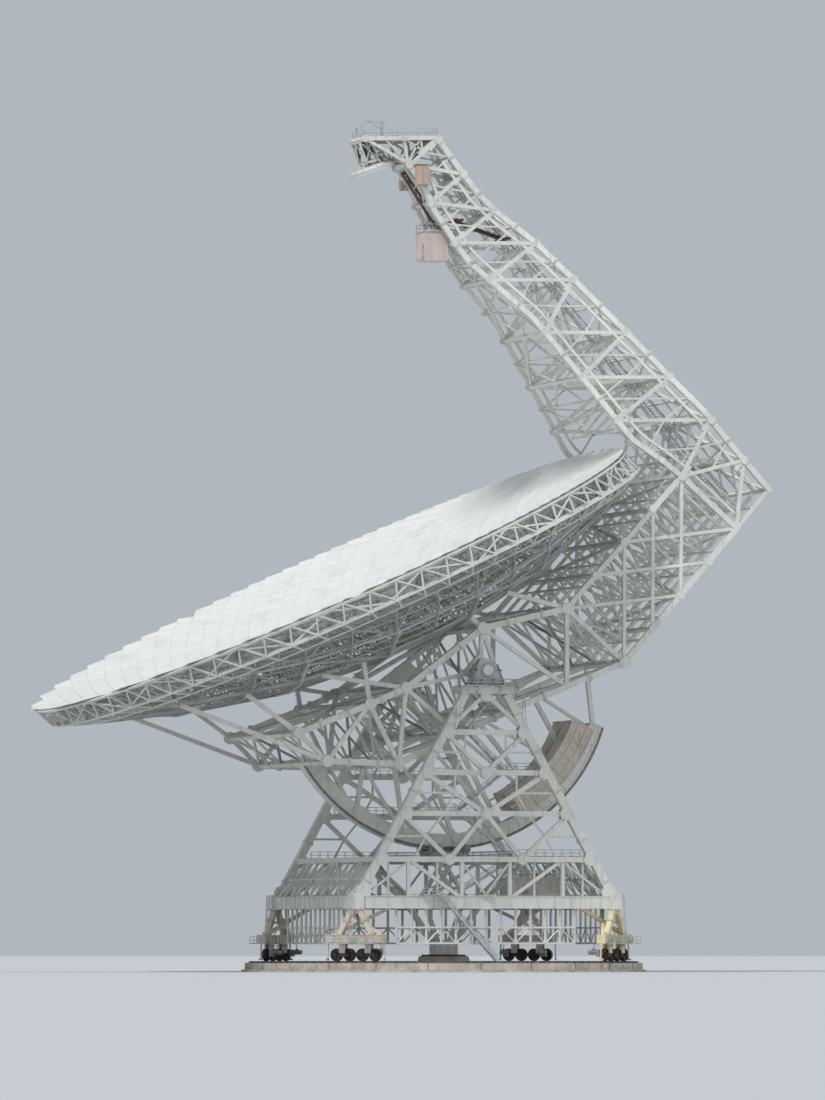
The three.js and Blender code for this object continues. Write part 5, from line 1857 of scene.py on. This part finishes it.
@dataclass
class ElevationWheel:
    """The rack, the bands and the ribs of the elevation wheel, and the plating of its weights."""

    outer: float = 2.96
    inner: float = 2.69
    face: float = 0.12
    start: float = -24.0
    end: float = 109.0
    spokes: Numbers = (-22, -6, 10, 27, 45, 63, 82, 101)
    ribs: int = 38
    teeth: int = 250
    weight_inner: float = 2.26
    weight_outer: float = 2.686
    weight_reach: float = 21.0
    weight_sides: tuple[float, float] = (0.042, 0.48)
    weight_ribs: int = 6
    bolt_radii: Numbers = (2.33, 2.475, 2.62)

    def polar(self, radius: float, degrees: float, s: float) -> Point:
        """Gives a point at a radius from the elevation axis, by the angle from straight under it."""
        turn = math.radians(degrees)
        return radius * math.sin(turn), s, -radius * math.cos(turn)

    def arc(self, radius: float, s: float, start: float, end: float) -> list[Point]:
        """Gives points along an arc, about two degrees apart."""
        return [self.polar(radius, turn, s) for turn in spread(start, end, round((end - start) / 2))]

    def radial(self, work: Metalwork, inner: float, outer: float, turn: float, s: float, wide: float,
               deep: float) -> None:
        """Adds a bar that points away from the elevation axis, from one radius to another."""
        work.bar(self.polar(inner, turn, s), self.polar(outer, turn, s), wide, deep, ACROSS)

    def build(self) -> None:
        """Makes the fittings of the wheel and of the two weights."""
        self.rim()
        self.weights()

    def rim(self) -> None:
        """Makes bands, ribs, spoke plates and rack teeth on both side faces of the rim."""
        plates, rack = Metalwork(Body.TIPPING), Metalwork(Body.TIPPING)
        for side in SIGNS:
            plane = side * (self.face + 0.003)
            for radius in (self.inner + 0.014, self.outer - 0.07):
                plates.path(self.arc(radius, plane, self.start, self.end), 0.016, 0.024, ACROSS)
            for turn in spread(self.start, self.end, self.ribs):
                self.radial(plates, self.inner + 0.02, self.outer - 0.08, turn, plane, 0.014, 0.012)
            for turn in self.spokes:
                plates.gusset(self.polar(self.inner + 0.07, turn, plane + side * 0.006), 0.19, THIN_PLATE,
                              bolts=8)
            for turn in spread(self.start + 0.4, self.end - 0.4, self.teeth - 1):
                self.radial(rack, self.outer - 0.05, self.outer - 0.008, turn, plane, 0.012, 0.013)
        plates.piece("elevation_wheel_plates", WHITE_PAINT)
        rack.piece("elevation_rack", DARK_STEEL)

    def weights(self) -> None:
        """Makes the ribs, edge bands, bolts and lifting lugs of the counterweights."""
        work = Metalwork(Body.TIPPING)
        reach, inner, outer = self.weight_reach, self.weight_inner, self.weight_outer
        near, far = self.weight_sides
        for side in SIGNS:
            plane = side * (far + 0.004)
            for radius in (inner + 0.012, 2.4, 2.55, outer - 0.014):
                work.path(self.arc(radius, plane, -reach, reach), 0.014, 0.024, ACROSS)
            for turn in spread(-reach, reach, self.weight_ribs):
                self.radial(work, inner, outer, turn, plane, 0.016, 0.024)
                work.bar(self.polar(inner - 0.004, turn, side * near),
                         self.polar(inner - 0.004, turn, side * far), 0.012, 0.03)
                root = turn + 3.2
                # The bolts past the last rib lean back over it
                tip = root if turn < reach else turn - 1.5
                for radius in self.bolt_radii:
                    work.rod(self.polar(radius, root, plane - side * 0.01),
                             self.polar(radius, tip, plane + side * 0.01), 0.014, 8)
            for end in SIGNS:
                turn = end * (reach + 0.08)
                for s in (near + 0.01, lerp(near, far, 0.5), far - 0.01):
                    self.radial(work, inner, outer, turn, side * s, 0.02, 0.01)
                for s in (near + 0.11, far - 0.11):
                    work.gusset(self.polar(2.47, end * (reach + 0.6), side * s), 0.1, PLATE)
        work.piece("counterweight_plating", WEIGHT_PAINT)


@dataclass
class BoxFrame:
    """The plates on the joints of the box, its splices and the diaphragms between its frames."""

    offset: float = 1.95
    low: Points = ((2.9, 1.0), (2.11, 0.04), (1.05, -0.4), (0.16, -0.82), (-1.8, -1.8))
    top: Points = ((2.88, 1.68), (1.7, 1.07), (1.08, 0.78), (-0.56, 0.44), (-1.8, -0.45))
    strut: float = 0.036
    third: float = 0.65

    def build(self) -> None:
        """Makes the plates and the struts of the box."""
        self.plates()
        self.struts()

    def plates(self) -> None:
        """Makes plates on both faces of every joint, and splices along the bars."""
        work = Metalwork(Body.TIPPING)
        for line in (self.low, self.top):
            for (q, b), ahead in zip(line, (*line[1:], None)):
                for side in SIGNS:
                    joint = (q, side * self.offset, b)
                    work.gussets(joint, 0.062, 0.21)
                    if ahead:
                        for share in (0.3, 0.7):
                            work.collar(joint, (ahead[0], side * self.offset, ahead[1]), share, 0.15)
                for share in (0.2, 0.5, 0.8):
                    work.collar((q, -self.offset, b), (q, self.offset, b), share, 0.112, UP)
        work.piece("box_joint_plates", WHITE_PAINT)

    def struts(self) -> None:
        """Makes crossed struts in every plane between the two frames."""
        work = Metalwork(Body.TIPPING)
        reach, third = self.offset - 0.06, self.third
        for (q, b), (upper_q, upper_b) in zip(self.low, self.top):
            for side in SIGNS:
                for start, stop in ((side * reach, side * third), (side * third, -side * third)):
                    work.bar((q, start, b), (upper_q, stop, upper_b), self.strut)
                    work.bar((upper_q, start, upper_b), (q, stop, b), self.strut)
                for s in (side * third, side * 2 * third):
                    work.bar((q, s, b), (upper_q, s, upper_b), self.strut, side=ACROSS)
        work.piece("box_diaphragms", WEB_PAINT)


# The head of the feed arm


@dataclass
class ArmHead:
    """The frame over the subreflector, with its deck, hoist and cabinets, and the boom."""

    rear: Point = (-6.64, 6.13)
    middle: Point = (-6.23, 6.57)
    nose: Point = (-5.76, 7.06)
    front: Point = (-5.96, 6.23)
    half: float = 0.35
    strut: float = 0.032
    brace: float = 0.028
    deck_rise: float = 0.045
    cabinet: Point = (-5.95, 0.43, 5.93)
    boom: tuple[Point, Point] = ((-5.89, 0.0, 6.13), (-5.61, 0.0, 5.06))
    swing: tuple[Point, Point] = ((-5.88, 0.0, 4.9), (-6.24, 0.0, 4.07))
    crane: Points = ((0, 0.05), (0.012, 0.05), (0.014, 0.028), (0.24, 0.022), (0.25, 0.022))
    hook: Points = ((0, 0.012), (0.03, 0.016), (0.04, 0.01))
    feed: Points = ((0, 0.03), (0.05, 0.03), (0.1, 0.042), (0.1, 0.036), (0.05, 0.02))
    hub: Points = ((0, 0.06), (0.02, 0.06), (0.03, 0.045), (0.12, 0.045), (0.13, 0.03))

    def at(self, spot: Point, s: float, rise: float = 0.0) -> Vector:
        """Gives a point of the head, raised from the frame as it stands at rest."""
        return Vector((spot[0], s, spot[1])) + Vector(LEVEL_UP) * rise

    def build(self) -> None:
        """Makes the plates and fine bracing, the deck with its hoist, the cabinets and the boom."""
        self.frame()
        self.deck()
        self.cabinets()
        self.lattice_boom()
        self.swing_drive()

    def frame(self) -> None:
        """Makes joint plates and the finer struts of the side, upper and lower faces."""
        work = Metalwork(Body.TIPPING)
        back, top = mix(self.rear, self.middle, 0.5), mix(self.middle, self.nose, 0.5)
        under = mix(self.front, self.rear, 0.5)
        for s in (self.half, -self.half):
            for corner in (self.rear, self.middle, self.nose, self.front):
                work.gussets((corner[0], s, corner[1]), 0.036, 0.125, THIN_PLATE)
            for a, b in ((back, self.front), (top, self.front), (under, self.middle), (under, back)):
                work.bar(self.at(a, s), self.at(b, s), self.strut, side=ACROSS)
        faces = ((self.rear, self.middle), (self.middle, self.nose), (self.rear, self.front),
                 (self.front, self.nose))
        for a, b in faces:
            middle = mix(a, b, 0.5)
            for start, stop in ((mix(a, b, 0), middle), (middle, mix(a, b, 1))):
                work.bar(self.at(start, -self.half), self.at(stop, self.half), self.brace)
                work.bar(self.at(start, self.half), self.at(stop, -self.half), self.brace)
            work.bar(self.at(middle, -self.half), self.at(middle, self.half), self.strut)
        work.piece("head_fine_bracing", WEB_PAINT)

    def deck(self) -> None:
        """Makes the deck on the head with its rail, two posts at the nose, and the hoist."""
        work = Metalwork(Body.TIPPING)
        rise, half = self.deck_rise, self.half
        for s in (-0.24, 0.0, 0.24):
            work.bar(self.at(self.rear, s, rise), self.at(self.nose, s, rise), 0.22, THIN_PLATE, ACROSS)
        corners = ((self.rear, -half), (self.nose, -half), (self.nose, half), (self.rear, half),
                   (self.rear, -half))
        work.railing([self.at(spot, s, rise) for spot, s in corners], up=LEVEL_UP)
        for s in (-0.12, 0.12):
            work.bar(self.at(self.nose, s, 0.04), self.at(self.nose, s, 0.24), 0.024)
        self.hoist(work)
        work.piece("head_deck_and_hoist", GALVANISED, 35)

    def hoist(self, work: Metalwork) -> None:
        """Makes the crane's post, its beam with a stay, and the hook.

        Args:
            work: What it joins.
        """
        up, forward = Vector(LEVEL_UP), Vector(LEVEL_FORWARD)
        spot = mix(self.middle, self.nose, 0.4)
        head = self.at(spot, 0, 0.3)
        tip = head + forward * 0.34
        work.turned(self.at(spot, 0, 0.05), up, self.crane, 14)
        work.bar(head - forward * 0.1, tip, 0.034, 0.02, up)
        work.bar(head - up * 0.12, head + forward * 0.2, 0.016)
        work.rod(tip, tip - up * 0.16, 0.004)
        work.turned(tip - up * 0.16, -up, self.hook, 10)

    def cabinets(self) -> None:
        """Makes the drive cabinets on the near and far side, with doors, grips, caps and plinths."""
        up, forward = Vector(LEVEL_UP), Vector(LEVEL_FORWARD)
        work = Metalwork(Body.TIPPING)
        for side in SIGNS:
            out = Vector(ACROSS) * side
            middle = Vector((self.cabinet[0], side * self.cabinet[1], self.cabinet[2]))
            work.block(middle, up, 0.17, 0.15, 0.2, ACROSS)
            for shift in (-0.05, 0.05):
                door = middle + forward * shift + out * 0.079
                work.block(door, up, 0.15, 0.008, 0.09, ACROSS)
                grip = door + forward * math.copysign(0.03, -shift) + out * 0.006
                work.rod(grip - up * 0.02, grip + up * 0.02, 0.004)
            work.bar(middle + up * 0.178, middle + up * 0.19, 0.18, 0.23, ACROSS)
            work.bar(middle - up * 0.19, middle - up * 0.17, 0.13, 0.18, ACROSS)
            for shift in (-0.08, 0.08):
                foot = middle + forward * shift - up * 0.19
                work.bar(foot, foot - out * 0.12, 0.02)
        work.piece("drive_cabinets", CABINET_PAINT)

    def lattice_boom(self) -> None:
        """Makes the laced boom that swings the prime focus feed in, in place of the plain bar."""
        work = Metalwork(Body.TIPPING)
        root, tip = (Vector(end) for end in self.boom)
        work.lattice(root, tip, 0.07, 0.07, 11, 0.016, 0.01, ACROSS)
        for share in spread(0.012, 0.985, 2):
            work.collar(root, tip, share, 0.088)
        aim = (tip - root).normalized()
        work.turned(tip - aim * 0.02, aim, self.feed, 18)
        made = work.piece("laced_prime_focus_boom", BOOM_PAINT)
        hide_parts("prime_focus_boom")

    def swing_drive(self) -> None:
        """Makes the boom's swing drive: a laced frame with its screw, two hubs and two shafts."""
        work = Metalwork(Body.TIPPING)
        hinge, tail = (Vector(end) for end in self.swing)
        work.lattice(hinge, tail, 0.06, 0.05, 8, 0.014, 0.009, ACROSS)
        work.bar(self.boom[1], hinge, 0.05, 0.06, ACROSS)
        screw = tail - hinge
        nut = screw.length * 0.9
        work.turned(hinge, screw, ((0, 0.05), (0.05, 0.05), (0.06, 0.02), (nut, 0.02), (nut, 0.04),
                                   (screw.length, 0.04)), 18)
        for s in (-0.07, 0.07):
            work.turned(hinge + Vector((0, s * 0.7, 0)), (0, s, 0), self.hub, 20)
        work.block(tail, ACROSS, 0.42, 0.04)
        work.block(hinge, ACROSS, 0.44, 0.04)
        work.piece("boom_swing_drive", BOOM_PAINT, 35)


@dataclass
class Subreflector:
    """The ribs behind the subreflector, its positioner with six actuators, and the feed horns."""

    centre: Point = (-5.555, 0.0, 6.59)
    away: Point = (-0.485, 0.0, 0.875)
    back: Points = ((0.05, 0.062), (0.14, 0.054), (0.28, 0.026), (0.398, -0.02))
    rib_count: int = 16
    hoop_sides: int = 32
    rib_rise: float = 0.008
    mount_foot: Point = (-5.585, 0.0, 6.64)
    mount_head: Point = (-5.79, 0.0, 7.04)
    mount_wide: float = 0.42
    mount_deep: float = 0.22
    foot_lift: float = 0.06
    head_lift: float = -0.02
    mount_bar: float = 0.03
    mount_brace: float = 0.016
    ram_reach: float = 0.24
    ram_ends: Points = (
        (0.8, 0.5, 0.35), (0.8, -0.5, -0.35), (-0.8, 0.5, math.pi - 0.35), (-0.8, -0.5, math.pi + 0.35),
        (0.3, 0.7, math.pi / 2), (-0.3, 0.7, math.pi / 2))
    room: Point = (-5.29, 0.0, 4.92)
    room_half_high: float = 0.24
    turret: Points = ((0, 0.15), (0.02, 0.15), (0.022, 0.135), (0.05, 0.135), (0.055, 0.12))
    horns: int = 6
    horn: Points = (
        (0, 0.014), (0.05, 0.014), (0.052, 0.02), (0.06, 0.02), (0.062, 0.014), (0.15, 0.042),
        (0.152, 0.047), (0.16, 0.047), (0.16, 0.038), (0.07, 0.01))

    def at(self, radius: float, turn: float, rise: float) -> Vector:
        """Gives a point of the subreflector's back.

        Args:
            radius: Its distance from the middle.
            turn: Its angle round the middle.
            rise: Its height over the middle of the front.

        Returns:
            The point (q, s, b).
        """
        along = Vector(self.away).normalized()
        wide = Vector(ACROSS)
        tall = along.cross(wide)
        return Vector(self.centre) + along * rise + (wide * math.cos(turn) + tall * math.sin(turn)) * radius

    def mount_at(self, end: Point, x: float, y: float, lift: float) -> Vector:
        """Gives a point of the positioner.

        Args:
            end: The middle of its foot or its head.
            x: The place across it, where 1 and -1 are its sides.
            y: The place along its depth.
            lift: The distance from the end.

        Returns:
            The point (q, s, b).
        """
        along = (Vector(self.mount_head) - Vector(self.mount_foot)).normalized()
        wide, deep = Vector(ACROSS), along.cross(Vector(ACROSS))
        return (Vector(end) + along * lift + wide * (x * self.mount_wide / 2)
                + deep * (y * self.mount_deep / 2))

    def foot_at(self, x: float, y: float) -> Vector:
        """Gives a point of the positioner's lower frame."""
        return self.mount_at(self.mount_foot, x, y, self.foot_lift)

    def head_at(self, x: float, y: float) -> Vector:
        """Gives a point of the positioner's upper frame."""
        return self.mount_at(self.mount_head, x, y, self.head_lift)

    def build(self) -> None:
        """Makes the ribs and rings, the positioner with its actuators, and the feeds."""
        self.ribs()
        self.positioner()
        self.actuators()
        self.feeds()

    def ribs(self) -> None:
        """Makes radial ribs and hoops on the back, and the band round the edge."""
        work = Metalwork(Body.TIPPING)
        rise = self.rib_rise
        for turn in circle(self.rib_count):
            for (r0, y0), (r1, y1) in pairwise(self.back):
                work.bar(self.at(r0, turn, y0 + rise), self.at(r1, turn, y1 + rise), 0.024, 0.008, self.away)
        for radius, height in self.back[1:]:
            hoop = [self.at(radius, turn, height + rise) for turn in circle(self.hoop_sides)]
            work.path(hoop, 0.028, 0.01, self.away, closed=True)
        work.piece("subreflector_ribs", WEB_PAINT)

    def positioner(self) -> None:
        """Makes two frames, posts and braces, in place of the plain block."""
        work = Metalwork(Body.TIPPING)
        along = Vector(self.mount_head) - Vector(self.mount_foot)
        bar = self.mount_bar
        for at in (self.foot_at, self.head_at):
            for y in SIGNS:
                work.bar(at(-1, y), at(1, y), bar, bar, along)
            for x in (-1, 0, 1):
                work.bar(at(x, -1), at(x, 1), bar, bar, along)
        for x, y in BOTH_SIGNS:
            foot = self.foot_at(x, y)
            work.bar(foot, self.head_at(x, y), bar, bar, ACROSS)
            work.bar(foot, self.head_at(x, -y), self.mount_brace)
            work.bar(foot, self.head_at(0, y), self.mount_brace)
        work.bar(self.head_at(-0.9, 0), self.head_at(0.9, 0), 0.02, 0.19, along)
        made = work.piece("subreflector_positioner", WEB_PAINT)
        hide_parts("subreflector_mount")

    def actuators(self) -> None:
        """Makes the six rams between the positioner's head and the subreflector."""
        work = Metalwork(Body.TIPPING)
        for x, y, turn in self.ram_ends:
            start = self.at(self.ram_reach, turn, 0.045)
            aim = self.mount_at(self.mount_head, x * 0.8, y, -0.05) - start
            long = aim.length
            work.turned(start, aim, ((0, 0.012), (0.02, 0.016), (0.03, 0.008), (long * 0.45, 0.008),
                                     (long * 0.46, 0.017), (long * 0.9, 0.017), (long, 0.01)), 14)
        work.piece("subreflector_actuators", DARK_STEEL, 35)

    def feeds(self) -> None:
        """Makes the turret of feed horns on the receiver room, which look at the subreflector."""
        work = Metalwork(Body.TIPPING)
        up, forward = Vector(LEVEL_UP), Vector(LEVEL_FORWARD)
        roof = Vector(self.room) + up * (self.room_half_high + 0.012)
        work.turned(roof, up, self.turret, 32)
        aim = (Vector(self.centre) - roof).normalized()
        for turn in circle(self.horns):
            shift = (forward * math.cos(turn) + Vector(ACROSS) * math.sin(turn)) * 0.085
            work.turned(roof + up * 0.04 + shift, aim, self.horn, 18)
        work.piece("feed_horns", GALVANISED, 35)


# The studio


@dataclass(frozen=True)
class Lamp:
    """A distant light, as wide as its angle in degrees, which shines along aim."""

    name: str
    strength: float
    angle: float
    aim: Point


@dataclass
class Studio:
    """The camera at the photograph's angle, the pale floor and the soft lights."""

    azimuth: float = -17.9
    distance: float = 150.0
    frame_wide: float = 13.9
    centre: Point = (-0.55, 0.0, 7.1)
    eye_level: float = 0.35
    sensor: float = 36.0
    picture: tuple[int, int] = (825, 1100)
    floor_half: float = 400.0
    floor_colour: str = "c3c6c8"
    floor_roughness: float = 0.9
    sky_colour: str = "c9d0d8"
    sky_strength: float = 0.75
    lamps: tuple[Lamp, ...] = (Lamp("sun", 2.15, 10.0, (0.55, 0.5, -0.95)),
                               Lamp("fill", 0.45, 60.0, (-0.7, 0.6, -0.35)))

    def build(self) -> None:
        """Makes the camera, the floor and the lights."""
        self.camera()
        self.floor()
        self.lights()

    def camera(self) -> None:
        """Makes the camera and aims it at the middle of the picture."""
        turn = math.radians(self.azimuth)
        rise = (self.eye_level - self.centre[2]) / self.distance
        back = Vector((math.sin(turn), -math.cos(turn), rise)).normalized()
        tall = self.frame_wide * self.picture[1] / self.picture[0]
        data = bpy.data.cameras.new("camera")
        data.sensor_width = self.sensor
        data.lens = self.sensor * self.distance / tall
        data.clip_end = self.distance * 4
        made = bpy.data.objects.new("camera", data)
        made.location = Vector(self.centre) + back * self.distance
        made.rotation_euler = (-back).to_track_quat("-Z", "Y").to_euler()
        bpy.context.scene.collection.objects.link(made)
        bpy.context.scene.camera = made

    def floor(self) -> None:
        """Makes the pale floor, which is not part of the telescope."""
        mesh = bpy.data.meshes.new("floor")
        half = self.floor_half
        mesh.from_pydata([(-half, -half, 0), (half, -half, 0), (half, half, 0), (-half, half, 0)],
                         [], [(0, 1, 2, 3)])
        material = bpy.data.materials.new("floor")
        material.use_nodes = True
        shader = material.node_tree.nodes["Principled BSDF"]
        shader.inputs["Base Color"].default_value = linear(self.floor_colour)
        shader.inputs["Roughness"].default_value = self.floor_roughness
        mesh.materials.append(material)
        made = bpy.data.objects.new("floor", mesh)
        bpy.context.scene.collection.objects.link(made)

    def lights(self) -> None:
        """Makes a soft pale sky, a broad sun from the upper left and a fill light."""
        scene = bpy.context.scene
        world = bpy.data.worlds.new("studio")
        world.use_nodes = True
        sky = world.node_tree.nodes["Background"]
        sky.inputs["Color"].default_value = linear(self.sky_colour)
        sky.inputs["Strength"].default_value = self.sky_strength
        scene.world = world
        for lamp in self.lamps:
            data = bpy.data.lights.new(lamp.name, "SUN")
            data.energy = lamp.strength
            data.angle = math.radians(lamp.angle)
            made = bpy.data.objects.new(lamp.name, data)
            made.rotation_euler = Vector(lamp.aim).to_track_quat("-Z", "Y").to_euler()
            scene.collection.objects.link(made)
        scene.view_settings.view_transform = "Standard"


def main() -> None:
    """Builds every sub-assembly in order."""
    logging.basicConfig(level=logging.INFO, format="%(message)s")
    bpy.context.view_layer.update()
    Studio().build()
    dress_nodes()
    dish = Dish()
    equipment_room = Room("equipment_room", Body.ALIDADE, (-1.55, 0.0, 1.2195),
                          (FORWARD, 0.9), (ACROSS, 0.6), (UP, 0.358), sheet=PALE_PANEL)
    receiver_room = Room("receiver_room", Body.TIPPING, (-5.29, 0.0, 4.92),
                         (ACROSS, 0.5), (LEVEL_FORWARD, 0.39), (LEVEL_UP, 0.48), fans=0)
    trucks = [Truck(end, side) for end, side in BOTH_SIGNS]
    for assembly in (Foundation(), *trucks, BaseFrame(), Towers(), ElevationMachinery(), equipment_room,
                     ElevationWheel(), BoxFrame(), ReflectorPanels(dish), BackFrame(dish), Rim(dish),
                     FeedArm(), ArmHead(), Subreflector(), receiver_room):
        assembly.build()


if __name__ == "__main__":
    main()
